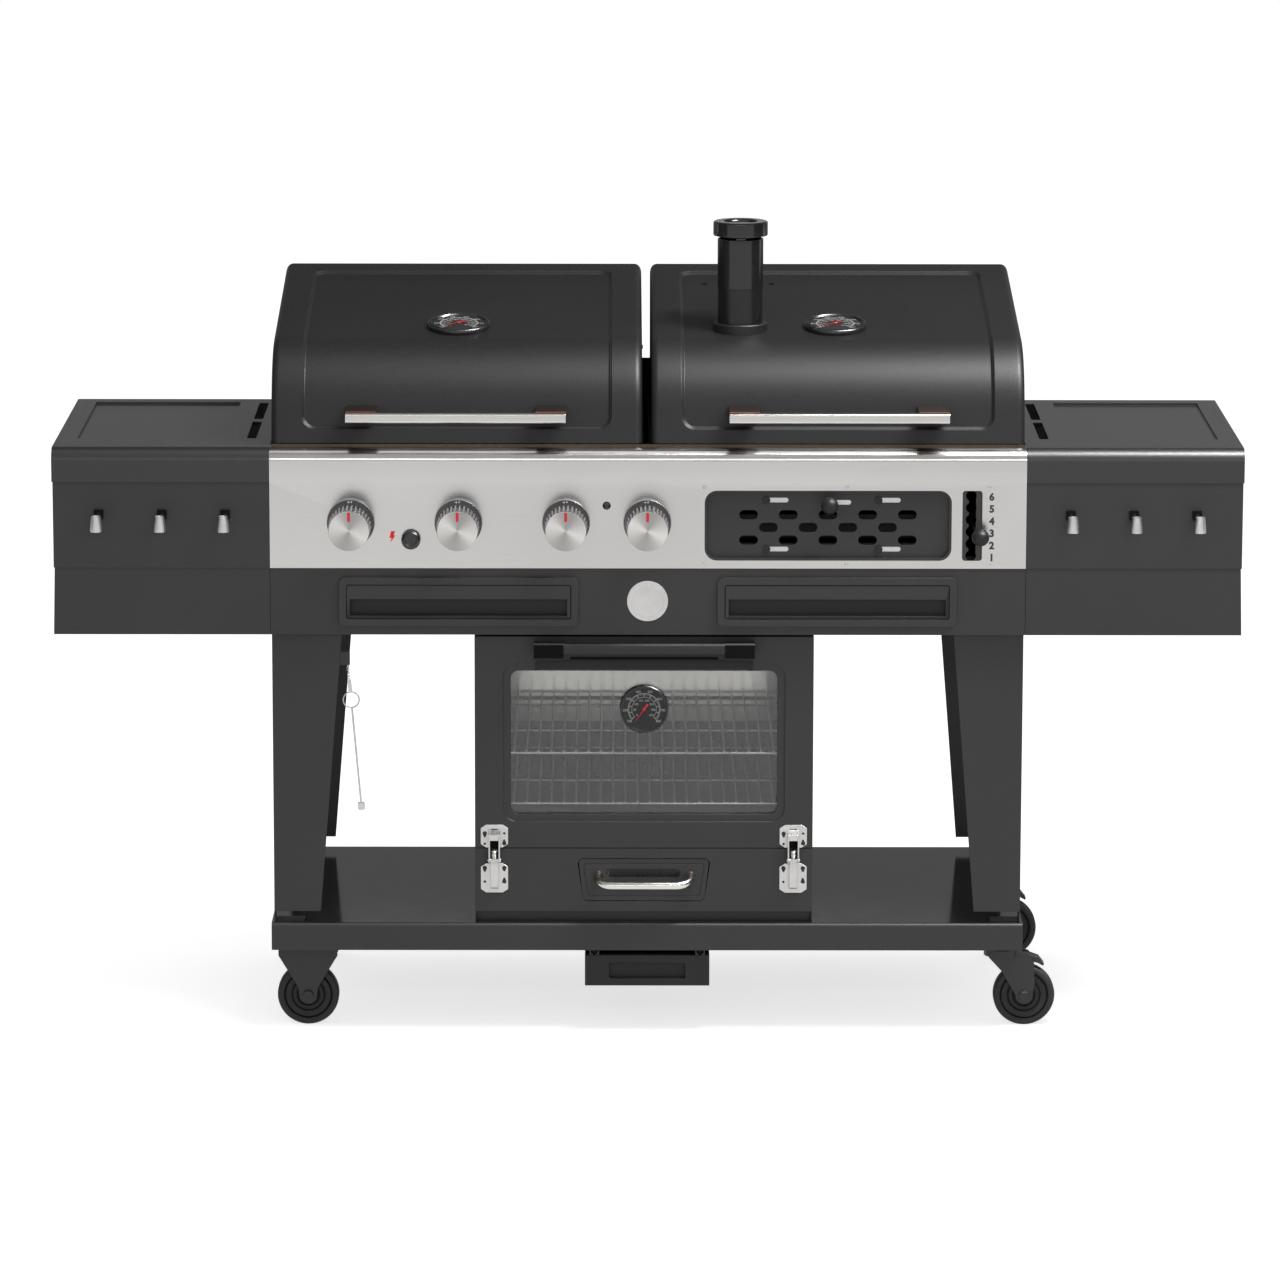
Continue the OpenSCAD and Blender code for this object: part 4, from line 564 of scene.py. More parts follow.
def ring_tree():
    """Copies of an item round the y axis, the first at the top."""
    tree, given = new_tree("Ring of items", [("Item", "Geometry", None), ("Count", "Int", 12),
        ("Radius", "Float", 0.03), ("Start", "Float", 0.0), ("Step", "Float", 0.5),
        ("Finish", "Material", None)])
    lift = add(tree, "ShaderNodeCombineXYZ", {"Z": given["Radius"]})
    raised = add(tree, "GeometryNodeTransform", {"Geometry": given["Item"], "Translation": lift.outputs[0]})
    points = add(tree, "GeometryNodeMeshLine", {"Count": given["Count"], "Offset": (0, 0, 0)})
    index = add(tree, "GeometryNodeInputIndex")
    angle = add(tree, "ShaderNodeMath", {0: index.outputs[0], 1: given["Step"], 2: given["Start"]},
                operation="MULTIPLY_ADD")
    spin = add(tree, "ShaderNodeCombineXYZ", {"Y": angle.outputs[0]})
    copies = add(tree, "GeometryNodeInstanceOnPoints", {"Points": points.outputs[0],
        "Instance": raised.outputs[0], "Rotation": spin.outputs[0]})
    return close_tree(tree, copies.outputs[0], given)


def row_tree():
    """Rows of an item; each next one is moved by a step and turned by a turn."""
    tree, given = new_tree("Rows of items", [("Item", "Geometry", None), ("Count", "Int", 5),
        ("Rows", "Int", 1), ("Step", "Vector", (0.01, 0, 0)), ("Row step", "Vector", (0, 0, 0.01)),
        ("Turn", "Vector", (0, 0, 0)), ("Finish", "Material", None)])
    total = add(tree, "ShaderNodeMath", {0: given["Count"], 1: given["Rows"]}, operation="MULTIPLY")
    points = add(tree, "GeometryNodeMeshLine", {"Count": total.outputs[0], "Offset": (0, 0, 0)})
    index = add(tree, "GeometryNodeInputIndex")
    column = add(tree, "ShaderNodeMath", {0: index.outputs[0], 1: given["Count"]}, operation="FLOORED_MODULO")
    share = add(tree, "ShaderNodeMath", {0: index.outputs[0], 1: given["Count"]}, operation="DIVIDE")
    row = add(tree, "ShaderNodeMath", {0: share.outputs[0]}, operation="FLOOR")
    along = add(tree, "ShaderNodeVectorMath", {0: given["Step"], "Scale": column.outputs[0]},
                operation="SCALE")
    up = add(tree, "ShaderNodeVectorMath", {0: given["Row step"], "Scale": row.outputs[0]}, operation="SCALE")
    spot = add(tree, "ShaderNodeVectorMath", {0: along.outputs[0], 1: up.outputs[0]}, operation="ADD")
    spread = add(tree, "GeometryNodeSetPosition", {"Geometry": points.outputs[0],
                 "Position": spot.outputs[0]})
    turn = add(tree, "ShaderNodeVectorMath", {0: given["Turn"], "Scale": column.outputs[0]},
               operation="SCALE")
    copies = add(tree, "GeometryNodeInstanceOnPoints", {"Points": spread.outputs[0],
        "Instance": given["Item"], "Rotation": turn.outputs[0]})
    return close_tree(tree, copies.outputs[0], given)


def rod_tree():
    """Round rod along a path of straight runs, with bent corners."""
    tree, given = new_tree("Bent rod", [("Path", "Geometry", None), ("Radius", "Float", 0.004),
        ("Bend", "Float", 0.01), ("Sides", "Int", 12), ("Finish", "Material", None)])
    curve = add(tree, "GeometryNodeMeshToCurve", {"Mesh": given["Path"]})
    bent = add(tree, "GeometryNodeFilletCurve", {"Curve": curve.outputs[0], "Radius": given["Bend"],
               "Count": 8}, mode="POLY")
    section = add(tree, "GeometryNodeCurvePrimitiveCircle", {"Resolution": given["Sides"],
                  "Radius": given["Radius"]})
    skin = add(tree, "GeometryNodeCurveToMesh", {"Curve": bent.outputs[0],
               "Profile Curve": section.outputs[0], "Fill Caps": True})
    return close_tree(tree, skin.outputs[0], given)


def coil_tree():
    """Coil spring standing on the origin."""
    tree, given = new_tree("Coil spring", [("Geometry", "Geometry", None), ("Turns", "Float", 6.0),
        ("Radius", "Float", 0.004), ("Height", "Float", 0.02), ("Wire", "Float", 0.001),
        ("Finish", "Material", None)])
    path = add(tree, "GeometryNodeCurveSpiral", {"Resolution": 20, "Rotations": given["Turns"],
        "Start Radius": given["Radius"], "End Radius": given["Radius"], "Height": given["Height"]})
    section = add(tree, "GeometryNodeCurvePrimitiveCircle", {"Resolution": 8, "Radius": given["Wire"]})
    skin = add(tree, "GeometryNodeCurveToMesh", {"Curve": path.outputs[0],
               "Profile Curve": section.outputs[0], "Fill Caps": True})
    return close_tree(tree, skin.outputs[0], given)


TREES = {"ring": ring_tree, "rows": row_tree, "rod": rod_tree, "coil": coil_tree}
PLANTED = {}


def grown(name, kind, inputs, body, slot, item=None, path=None, at=None):
    """Runs a tree on an item or a path and keeps the result as a plain mesh on its body."""
    if kind not in PLANTED:
        PLANTED[kind] = TREES[kind]()
    tree = PLANTED[kind]
    mesh = bpy.data.meshes.new(name)
    if path:
        mesh.from_pydata([place(*p) for p in path], [(i, i + 1) for i in range(len(path) - 1)], [])
    elif item:
        mesh.from_pydata([Vector(p) / 1000 for p in item.points], [], item.faces)
        bm = bmesh.new()
        bm.from_mesh(mesh)
        bmesh.ops.recalc_face_normals(bm, faces=bm.faces)
        bm.to_mesh(mesh)
        bm.free()
    obj = bpy.data.objects.new(name, mesh)
    bpy.context.collection.objects.link(obj)
    modifier = obj.modifiers.new(name, "NODES")
    modifier.node_group = tree
    for socket in tree.interface.items_tree:
        if socket.in_out == "INPUT" and socket.name in inputs:
            value = inputs[socket.name]
            modifier[socket.identifier] = FINISH[value] if socket.name == "Finish" else value
    plain = settle(obj, name)
    if at is not None:
        plain.data.transform(at if isinstance(at, Matrix) else Matrix.Translation(place(*at)))
    smoothed(plain.data, 40)
    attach(plain, body)
    return plain


def item_of(draw):
    """The shape that a drawing function leaves."""
    shape = Shape()
    draw(shape)
    return shape


# ---------------------------------------------------------------- image points
# Each is (x, y) in the photograph's 1280 px frame: what it measures, the piece, and a box about it in mm
POINTS = {
    "left_edge": ("left", 51.0, None, "side_shelf_tops_skin", None),
    "right_edge": ("right", 1245.3, None, "side_shelf_tops_skin", None),
    "top_edge": ("top", None, 217.1, "chimney_cap_skin", None),
    "bottom_edge": ("bottom", None, 1025.0, "front_right_wheel_skin", None),
    "cap_middle": ("middle_x", 740.4, None, "chimney_cap_skin", None),
    "left_lid_top": ("top", None, 264.0, "left_lid_skin", None),
    "left_lid_left": ("left", 270.9, None, "left_lid_skin", None),
    "right_lid_right": ("right", 1025.0, None, "right_lid_skin", None),
    "first_bezel": ("middle", 350.8, 522.7, "bezel_1", None),
    "last_bezel": ("middle", 647.5, 522.7, "bezel_4", None),
    "lever_ball": ("middle", 980.8, 538.6, "lift_lever_skin", ((530, -60, 840), (575, -24, 890))),
    "door_dial": ("middle", 644.1, 708.8, "door_dial_case", None),
    "caddy_left": ("left", 584.3, None, "caddy_skin", None),
    "caddy_bottom": ("bottom", None, 985.7, "caddy_skin", None),
    "front_left_wheel": ("middle_x", 308.1, None, "front_left_wheel_skin", None),
    "numeral_6": ("middle", 991.9, 496.8, "numeral_6", None),
    "numeral_1": ("middle", 991.5, 557.6, "numeral_1", None),
    "spark_sign": ("middle", 392.2, 537.0, "spark_sign", None),
    "round_plate": ("middle", 647.5, 601.0, "plain_badge_plate", None),
}


def camera_ray(x, y):
    """Start and direction of the ray through a point of the photograph's frame."""
    camera = bpy.context.scene.camera
    data = camera.data
    ray = Vector((x - PHOTO / 2 + data.shift_x * PHOTO, PHOTO / 2 - y + data.shift_y * PHOTO,
                  -PHOTO * data.lens / data.sensor_width))
    turn = camera.matrix_world.to_3x3()
    return camera.matrix_world.translation.copy(), (turn @ ray).normalized()


def on_surface(x, y, carrier):
    """Where the ray of an image point meets what carries a piece; a miss takes the nearest place."""
    start, ray = camera_ray(x, y)
    mesh = carrier.data
    tree = BVHTree.FromPolygons([v.co for v in mesh.vertices], [p.vertices for p in mesh.polygons])
    hit = tree.ray_cast(start, ray)[0]
    if hit is not None:
        return hit

    def off_ray(vertex):
        return (vertex.co - intersect_point_line(vertex.co, start, start + ray)[0]).length

    return min(mesh.vertices, key=off_ray).co.copy()


def shown_at(world):
    """Image place of a point in the photograph's frame."""
    camera = bpy.context.scene.camera
    local = camera.matrix_world.inverted() @ world
    focal = PHOTO * camera.data.lens / camera.data.sensor_width
    return (PHOTO / 2 - focal * local.x / local.z - camera.data.shift_x * PHOTO,
            PHOTO / 2 + focal * local.y / local.z + camera.data.shift_y * PHOTO)


def write_points():
    """Finds, for each image point, where the finished vertices of its piece that show lie in the frame; it
    keeps and writes nothing.
    """
    shown = [o for o in bpy.context.scene.objects
             if o.type == "MESH" and not o.hide_render and not o.get("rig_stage")]
    points, faces = [], []
    for obj in shown:
        base = len(points)
        points += [v.co.copy() for v in obj.data.vertices]
        faces += [[base + i for i in p.vertices] for p in obj.data.polygons]
    tree = BVHTree.FromPolygons(points, faces)
    start = bpy.context.scene.camera.matrix_world.translation
    for name, (kind, x, y, piece, near) in POINTS.items():
        obj = bpy.data.objects.get(piece)
        if obj is None:
            continue
        seen = []
        for vertex in obj.data.vertices:
            p = vertex.co
            if near and not all(place(*near[0])[i] <= p[i] <= place(*near[1])[i] for i in range(3)):
                continue
            ray = (p - start).normalized()
            hit = tree.ray_cast(start, ray)[0]
            if hit is not None and (hit - start).length > (p - start).length - 0.002:
                seen.append(shown_at(p))
        if not seen:
            continue


# ---------------------------------------------------------------- lids
# A lid seen from its end: a front that leans back, a wide bend, a crown that climbs to the back, a small
# bend and the back wall. KNEE is the height at which front and crown would meet without the bend
LEAN, SLOPE, BEND, KNEE = math.radians(10), math.radians(8.7), 130.0, 1167.0
LID_FOOT, LID_FRONT, LID_BACK = 1015.0, 30.0, 585.0
# Radius of the small bend, the run round it, how far its ends lie below the crown's line, the back wall's run
BACK_BEND, BACK_ARC, BACK_SINK, BACK_RUN = 5, 7.5, 0.7, 227
# Whole run of the outline, with its front's and its crown's share rounded up
FRONT_RUN, CROWN_RUN = 60.9, 437.0
CORNER = (LID_FRONT + (KNEE - LID_FOOT) * math.tan(LEAN), KNEE)
TURN = math.pi / 2 - LEAN - SLOPE
REACH = BEND * math.tan(TURN / 2)
# Middle of the wide bend
ARC = (CORNER[0] + REACH * math.cos(SLOPE) + BEND * math.sin(SLOPE),
       CORNER[1] + REACH * math.sin(SLOPE) - BEND * math.cos(SLOPE))
LID_RUN = FRONT_RUN + BEND * TURN + CROWN_RUN + BACK_ARC + BACK_RUN
# Left and right end of each lid, and the radius of those ends
LIDS = {"left": (-633.0, -10.0), "right": (5.0, 633.0)}
LID_END, END_STEPS = 12.0, 6
# Middle of the flue, which stands on the right lid
FLUE = (157, 208.7)
# Lid hinges: place of the pin's axis, the ears' thickness, and how far they are from the lid's two ends
PIN_Y, PIN_Z, EAR, EAR_IN = 597, 1090, 4, (40, 44)
# Pressed panel of a lid: height and depth at which it starts and ends, how far it stays from the lid's ends,
# the reach of its border's soft steps, and the places of those steps
PANEL_LOW, PANEL_BACK, PANEL_SIDE = 1039, 537, 52.5
PANEL_STEP, PANEL_STEPS = 1.4, (1.2, -1.6)


def lid_top(y):
    """Height of the crown at a depth."""
    return CORNER[1] + (y - CORNER[0]) * math.tan(SLOPE)


def lid_front(z):
    """Depth of the leaning front at a height."""
    return LID_FRONT + (z - LID_FOOT) * math.tan(LEAN)


def bend_start(radius):
    """Where the wide bend leaves the front, for the bend or one inside it."""
    return Vector((ARC[0] - radius * math.cos(LEAN), ARC[1] + radius * math.sin(LEAN)))


def bend_end(radius):
    """Where the wide bend meets the crown."""
    return Vector((ARC[0] - radius * math.sin(SLOPE), ARC[1] + radius * math.cos(SLOPE)))


def lid_line(s, inset):
    """Place (y, z) at a run s up the lid's outline from its front foot, at an inset from the skin."""
    radius = BEND - inset
    foot = Vector((LID_FRONT + inset / math.cos(LEAN), LID_FOOT))
    front = (bend_start(BEND) - Vector((LID_FRONT, LID_FOOT))).length
    if s <= front:
        return foot.lerp(bend_start(radius), s / front)
    s -= front
    if s <= BEND * TURN:
        t = LEAN + s / BEND
        return Vector((ARC[0] - radius * math.cos(t), ARC[1] + radius * math.sin(t)))
    s -= BEND * TURN
    back = LID_BACK - inset
    low = inset * (math.tan(SLOPE) + 1 / math.cos(SLOPE))
    edge = Vector((back - BACK_BEND, lid_top(LID_BACK) - low - BACK_SINK))
    crown = (Vector((LID_BACK - BACK_BEND, lid_top(LID_BACK) - BACK_SINK)) - bend_end(BEND)).length
    if s <= crown:
        return bend_end(radius).lerp(edge, s / crown)
    s -= crown
    if s <= BACK_ARC:
        t = s / BACK_ARC * math.pi / 2
        return edge + Vector((BACK_BEND * math.sin(t), -BACK_BEND * (1 - math.cos(t))))
    s -= BACK_ARC
    drop = edge.y - BACK_BEND
    return Vector((back, drop - min(1, s / BACK_RUN) * (drop - LID_FOOT)))


def run_where(test):
    """First run up the outline at which a test on its place holds."""
    s = 0.0
    while not test(lid_line(s, 0)):
        s += 0.25
    return s


def stops(low, high, fine, coarse, windows):
    """Places from low to high: close together inside the windows, else far apart."""
    out = [low]
    while out[-1] < high - 1e-6:
        here = out[-1]
        inside = any(a - 1e-6 <= here < b for a, b in windows)
        ahead = min([a for a, _ in windows if a > here + 1e-6] + [high])
        out.append(min(here + (fine if inside else coarse), high if inside else ahead))
    return out


def lid_columns(xs):
    """Places across a lid from end to end, each with its inset from the skin where the end is round."""
    # close together over the panel's two side borders
    flat = stops(xs[0] + LID_END, xs[1] - LID_END, 1.0, 24.0,
                 [(xs[0] + 50, xs[0] + 76), (xs[1] - 76, xs[1] - 50)])
    rounded = [math.pi / 2 * i / END_STEPS for i in range(END_STEPS + 1)]
    ends = [(xs[0] + LID_END * (1 - math.cos(a)), LID_END * (1 - math.sin(a))) for a in rounded]
    return ends + [(x, 0.0) for x in flat[1:-1]] + [(xs[0] + xs[1] - x, inset) for x, inset in reversed(ends)]


def lid_sheet(xs):
    """Outer face of a pressed lid with its rounded ends and its sunk panel."""
    given = bpy.context.scene.grill_lids
    dip, corner = given.dip * 1000, given.panel_round * 1000
    low = run_where(lambda p: p.y >= PANEL_LOW)
    high = run_where(lambda p: p.x >= PANEL_BACK)
    mid_s, half_s = (low + high) / 2, (high - low) / 2
    mid_x, half_x = sum(xs) / 2, (xs[1] - xs[0]) / 2 - PANEL_SIDE
    # close rows along the panel's two borders and the back bend, wide ones between
    rows = stops(0, LID_RUN, 1.0, 8.0, [(low - 3, low + 24), (high - 24, high + 3),
                 (LID_RUN - 236, LID_RUN - 226)])
    columns = lid_columns(xs)
    sheet = Shape()
    points = []
    for x, inset in columns:
        for s in rows:
            qx, qs = abs(x - mid_x) - half_x + corner, abs(s - mid_s) - half_s + corner
            away = math.hypot(max(qx, 0), max(qs, 0)) + min(max(qx, qs), 0) - corner
            # the border steps down twice, with a narrow ledge between
            fall = [min(1, max(0, (edge - away) / PANEL_STEP)) for edge in PANEL_STEPS]
            y, z = lid_line(s, inset + dip * sum(t * t * (3 - 2 * t) for t in fall) / 2)
            points.append((x, y, z))
    n = len(rows)
    faces = [[i * n + j, (i + 1) * n + j, (i + 1) * n + j + 1, i * n + j + 1]
             for i in range(len(columns) - 1) for j in range(n - 1)]
    faces += [list(range(n)), [(len(columns) - 1) * n + j for j in reversed(range(n))]]
    sheet.join(points, faces)
    return sheet


def lid_skin(side, holes=()):
    """Pressed lid: rounded ends, a wide bend and a sunk panel with soft borders, as a 2 mm wall."""
    name, body = side + "_lid_skin", side + "_lid"
    mesh = lid_sheet(LIDS[side]).mesh(name, ["powder_coat_lid"])
    if max(mesh.polygons, key=lambda face: face.center.z).normal.z < 0:
        mesh.flip_normals()
    obj = bpy.data.objects.new(name, mesh)
    bpy.context.collection.objects.link(obj)
    thick = obj.modifiers.new("wall", "SOLIDIFY")
    thick.thickness = bpy.context.scene.grill_lids.wall
    thick.offset = -1
    obj = settle(obj, name)
    if holes:
        cutter = Shape()
        for x, y, radius in holes:
            cutter.lathe([(0, 1100), (radius, 1100), (radius, 1300), (0, 1300)], (x, y, 0), "z", 48)
        tool = cutter.piece("lid_cutter", "right_lid", ["powder_coat_lid"], "black_coat")
        cut = obj.modifiers.new("holes", "BOOLEAN")
        cut.operation = "DIFFERENCE"
        cut.solver = "EXACT"
        cut.object = tool
        obj = settle(obj, name)
        bpy.data.objects.remove(tool)
    bpy.context.collection.objects.unlink(obj)
    return dressed(obj, name, body, [body], 0, 45)


class GRILL_OT_lids(bpy.types.Operator):
    """Makes the two pressed lids with their hinge ears"""

    bl_idname = "grill.lids"
    bl_label = "Lids"

    def execute(self, context):
        lid_skin("left")
        # the flue's hole and the two screw holes at the back
        lid_skin("right", [(*FLUE, 37.5), (98.6, 474, 5.6), (215.4, 474, 5.6)])
        for side, xs in LIDS.items():
            ears = Shape()
            for x in (xs[0] + EAR_IN[0], xs[1] - EAR_IN[1]):
                outline = [(LID_BACK - 1.5, PIN_Z - 8)]
                outline += [(PIN_Y + 8 * math.cos(t), PIN_Z + 8 * math.sin(t))
                            for t in [math.radians(-90 + 15 * i) for i in range(13)]]
                outline += [(LID_BACK - 1.5, PIN_Z + 8)]
                ears.prism(outline, x, x + EAR, "x", holes=[disc(PIN_Y, PIN_Z, 4.05)])
            if side == "left":
                # hex bolt heads on the end that faces the other lid
                for z in (1023, 1103):
                    ears.lathe([(0, 0), (4, 0), (4, 3), (3, 3.5), (0, 3.5)], (xs[1] - 0.5, 558, z), "x", 6)
            ears.piece(side + "_lid_ears", side + "_lid", ["powder_coat_dark"], "black_coat", edge=0.4)
        return {"FINISHED"}


class GRILL_OT_lid_handles(bpy.types.Operator):
    """Makes the bright lid handles on their bronzed stand-offs"""

    bl_idname = "grill.lid_handles"
    bl_label = "Lid handles"

    def execute(self, context):
        grip = context.scene.grill_lids.grip * 1000
        # the bar: half its length, its section's low and high corner, and the section's middle
        half, corners, middle = 184, ((-46, 1060), (-28, 1077)), (-37, 1068.5)
        # stand-offs: their width and their lower and upper edge
        wide, low, high = 51, 1060.5, 1076.8
        outline = rounded_rect(*corners, grip, 5)
        n = len(outline)
        for side, xs in LIDS.items():
            mid = sum(xs) / 2
            # the bar's sections from end to end, with fish-tail ends that are hollowed in the middle
            left = [(3.5, 0.1), (2.5, 0.5), (0, 0.96), (1, 1.0)]
            sections = [(into - half, scale) for into, scale in left]
            sections += [(half - into, scale) for into, scale in (left[3], left[2], left[1], left[0])]
            bar = Shape()
            points = [(mid + x, middle[0] + (y - middle[0]) * scale, middle[1] + (z - middle[1]) * scale)
                      for x, scale in sections for y, z in outline]
            faces = [[i * n + j, i * n + (j + 1) % n, (i + 1) * n + (j + 1) % n, (i + 1) * n + j]
                     for i in range(len(sections) - 1) for j in range(n)]
            faces += [list(range(n)), [(len(sections) - 1) * n + j for j in range(n)]]
            bar.join(points, faces)
            for x in (mid - half, mid + half - wide):
                bar.prism([(-28.5, low), (-28.5, high)] + [(lid_front(z) + 4, z) for z in (high, low)],
                          x, x + wide, "x", 1)
                # red washer that shows as a line on top
                bar.prism([(-31, high - 0.4), (-27.4, high - 0.4), (-27.4, high + 0.6), (-31, high + 0.6)],
                          x, x + wide, "x", 2)
            bar.piece(side + "_lid_handle_bar", side + "_lid",
                      ["polished_bar", "bronzed_steel", "fibre_washer"],
                      "steel", [side + "_lid_handle"], 0.5)
        return {"FINISHED"}


def lettering(name, text, height, centre, face, up, body, finish_name, bold=0.0):
    """Flat numerals, a height in mm tall, as a thin mesh whose middle lies on a surface."""
    curve = bpy.data.curves.new(name, "FONT")
    curve.body = text
    # a numeral of Blender's own font is 0.72 of its size tall
    curve.size = height / 1000 / 0.72
    curve.align_x, curve.align_y = "CENTER", "CENTER"
    curve.offset = bold / 1000
    curve.extrude = 0.00012
    curve.resolution_u = 3
    obj = bpy.data.objects.new(name, curve)
    bpy.context.collection.objects.link(obj)
    plain = settle(obj, name)
    face, up = Vector(face).normalized(), Vector(up)
    right = up.cross(face).normalized()
    spin = Matrix((right, face.cross(right), face)).transposed().to_4x4()
    mid = sum((Vector(c) for c in plain.bound_box), Vector()) / 8
    plain.data.transform(Matrix.Translation(Vector(centre) + face * 0.00015) @ spin
                         @ Matrix.Translation(-mid))
    plain.data.materials.clear()
    plain.data.materials.append(FINISH[finish_name])
    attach(plain, body)
    return plain


# Half the sweep of a thermometer's scale in degrees. Its two rows of ticks: name, count, length, width and
# radius. Its two rows of numbers: name, radius, step, first step and height. Measures are shares of the
# card's radius
SWEEP = 130
NEEDLE = ((-0.055, -0.30), (0.055, -0.30), (0.02, 0.1), (0.008, 0.70), (-0.008, 0.70), (-0.02, 0.1))
TICK_ROWS = (("major", 11, 0.13, 0.030, 0.66), ("minor", 51, 0.07, 0.012, 0.70))
NUMBER_ROWS = (("outer", 0.87, 100, 1, 0.115), ("inner", 0.43, 50, 0, 0.10))


def dial_print(name, centre, tilt, radius, body, needle):
    """Scale, numbers and needle of a round thermometer that faces along -y before it is tilted."""
    spin = Matrix.Rotation(tilt, 4, "X")
    base = Matrix.Translation(place(*centre)) @ spin
    for label, count, length, width, ring in TICK_ROWS:
        w, h = width * radius / 2, length * radius / 2
        tick = item_of(lambda s: s.prism([(-w, -h), (w, -h), (w, h), (-w, h)], -0.35, 0, "y"))
        grown(f"{name}_{label}_ticks", "ring", {"Count": count, "Radius": ring * radius / 1000,
              "Start": math.radians(-SWEEP), "Step": math.radians(2 * SWEEP / (count - 1)),
              "Finish": "grey_print"}, body, "enamel", tick, at=base)
    shape = Shape()
    steps = 72
    arc = [math.radians(-SWEEP + 2 * SWEEP * i / steps) for i in range(steps + 1)]
    for inner, outer in ((0.735, 0.755), (0.56, 0.575)):
        outline = [(outer * radius * math.sin(t), outer * radius * math.cos(t)) for t in arc]
        outline += [(inner * radius * math.sin(t), inner * radius * math.cos(t)) for t in reversed(arc)]
        shape.prism(outline, -0.3, 0, "y")
    shape.turned(Matrix.Translation(Vector(centre)) @ spin)
    shape.piece(name + "_scale", body, ["grey_print"], "enamel")
    for i in range(8):
        t = math.radians(-SWEEP + 2 * SWEEP * i / 7)
        for label, ring, step, first, height in NUMBER_ROWS:
            out, up = ring * radius * math.sin(t) / 1000, ring * radius * math.cos(t) / 1000
            spot = base @ Vector((out, -0.0002, up))
            lettering(f"{name}_{label}_{i}", str(step * (i + first)), height * radius, spot,
                      spin @ Vector((0, -1, 0)), spin @ Vector((0, 0, 1)), body, "grey_print")
    hand = Shape()
    hand.prism([(u * radius, v * radius) for u, v in NEEDLE], -1.6, -1.0, "y")
    hand.lathe([(0, -2.2), (0.06 * radius, -2.2), (0.075 * radius, -1.6), (0.075 * radius, -0.2), (0, -0.2)],
               (0, 0, 0), "y", 24)
    hand.turned(Matrix.Translation(Vector(centre)) @ spin @ Matrix.Rotation(needle, 4, "Y"))
    hand.piece(name + "_needle", body, ["red_enamel"], "enamel")


class GRILL_OT_lid_dials(bpy.types.Operator):
    """Makes the two lid thermometers"""

    bl_idname = "grill.lid_dials"
    bl_label = "Lid dials"

    def execute(self, context):
        surface = lid_top(215) - 3 / math.cos(SLOPE)
        tilt = math.radians(-90) + SLOPE
        spin = Matrix.Translation(Vector((0, 215, surface))) @ Matrix.Rotation(tilt, 4, "X")
        for side, xs in LIDS.items():
            mid = sum(xs) / 2
            case = Shape()
            case.lathe([(0, -4.6), (43, -4.6), (44.2, -4.8), (46, -7.6), (47.5, -8.3), (50, -8.2),
                        (52.2, -6.6), (53.2, -4.4), (53.4, -2.2), (52.6, 2.4), (0, 2.4)], (0, 0, 0), "y", 72)
            case.lathe([(0, -4.75), (43.2, -4.75), (43.2, -4.5), (0, -4.5)], (0, 0, 0), "y", 72, 1)
            case.turned(Matrix.Translation(Vector((mid, 0, 0))) @ spin)
            case.piece(side + "_dial_case", side + "_lid", ["dial_case", "dial_card"], "bezel",
                       [side + "_lid_dial"])
            face = spin @ Vector((0, -4.8, 0))
            dial_print(side + "_dial", (mid, face.y, face.z), tilt, 43, side + "_lid", math.radians(-128))
        return {"FINISHED"}


class GRILL_OT_chimney(bpy.types.Operator):
    """Makes the flue pipe, its flange and its cap"""

    bl_idname = "grill.chimney"
    bl_label = "Chimney"

    def execute(self, context):
        x, y = FLUE
        cap_foot = 1345
        pipe = Shape()
        pipe.lathe([(38.9, 1257), (38.9, 1339), (37.2, 1339), (37.2, 1257)], (x, y, 0), "z", 72, 0, True)
        pipe.lathe([(38.0, 1180), (38.0, 1258), (36.9, 1258), (36.9, 1180)], (x, y, 0), "z", 72, 1, True)
        base = lid_top(y) - 5
        pipe.lathe([(37.0, base - 10), (46.5, base - 10), (46.5, base + 9), (45.4, base + 10.4),
                    (37.0, base + 10.4)], (x, y, 0), "z", 72, 2, True)
        # bar across the pipe, with the boss that the cap's rod slides in
        pipe.box((x - 38, y - 6, 1315), (x + 38, y + 6, 1318), 2)
        pipe.lathe([(0, 1315), (8, 1315), (8, 1327), (0, 1327)], (x, y, 0), "z", 24, 2)
        pipe.piece("chimney_skin", "right_lid", ["flue_enamel", "flue_enamel_shaded", "powder_coat_dark"],
                   "dark_coat", ["chimney"])
        cap = Shape()
        cap.lathe([(0, 21.0), (26.5, 21.0), (27.4, 22.2), (28.4, 23.2), (30, 24), (43.8, 24), (45.6, 23.0),
                   (46.3, 21.2), (46.3, 1.2), (45.8, 0), (44.6, 0.6), (44.3, 18), (0, 18)],
                  (x, y, cap_foot), "z", 72)
        cap.lathe([(0, -34), (4, -34), (4, 18.2), (0, 18.2)], (x, y, cap_foot), "z", 24)
        # small bronzed tab below the rim
        cap.prism(rounded_rect((x - 8, cap_foot - 4.6), (x + 8, cap_foot - 2.4), 1.0),
                  y - 39, y - 38.2, "y", 1)
        cap.piece("chimney_cap_skin", "chimney_cap", ["flue_enamel", "bronzed_steel"],
                  "black_coat", ["chimney_cap"])
        return {"FINISHED"}


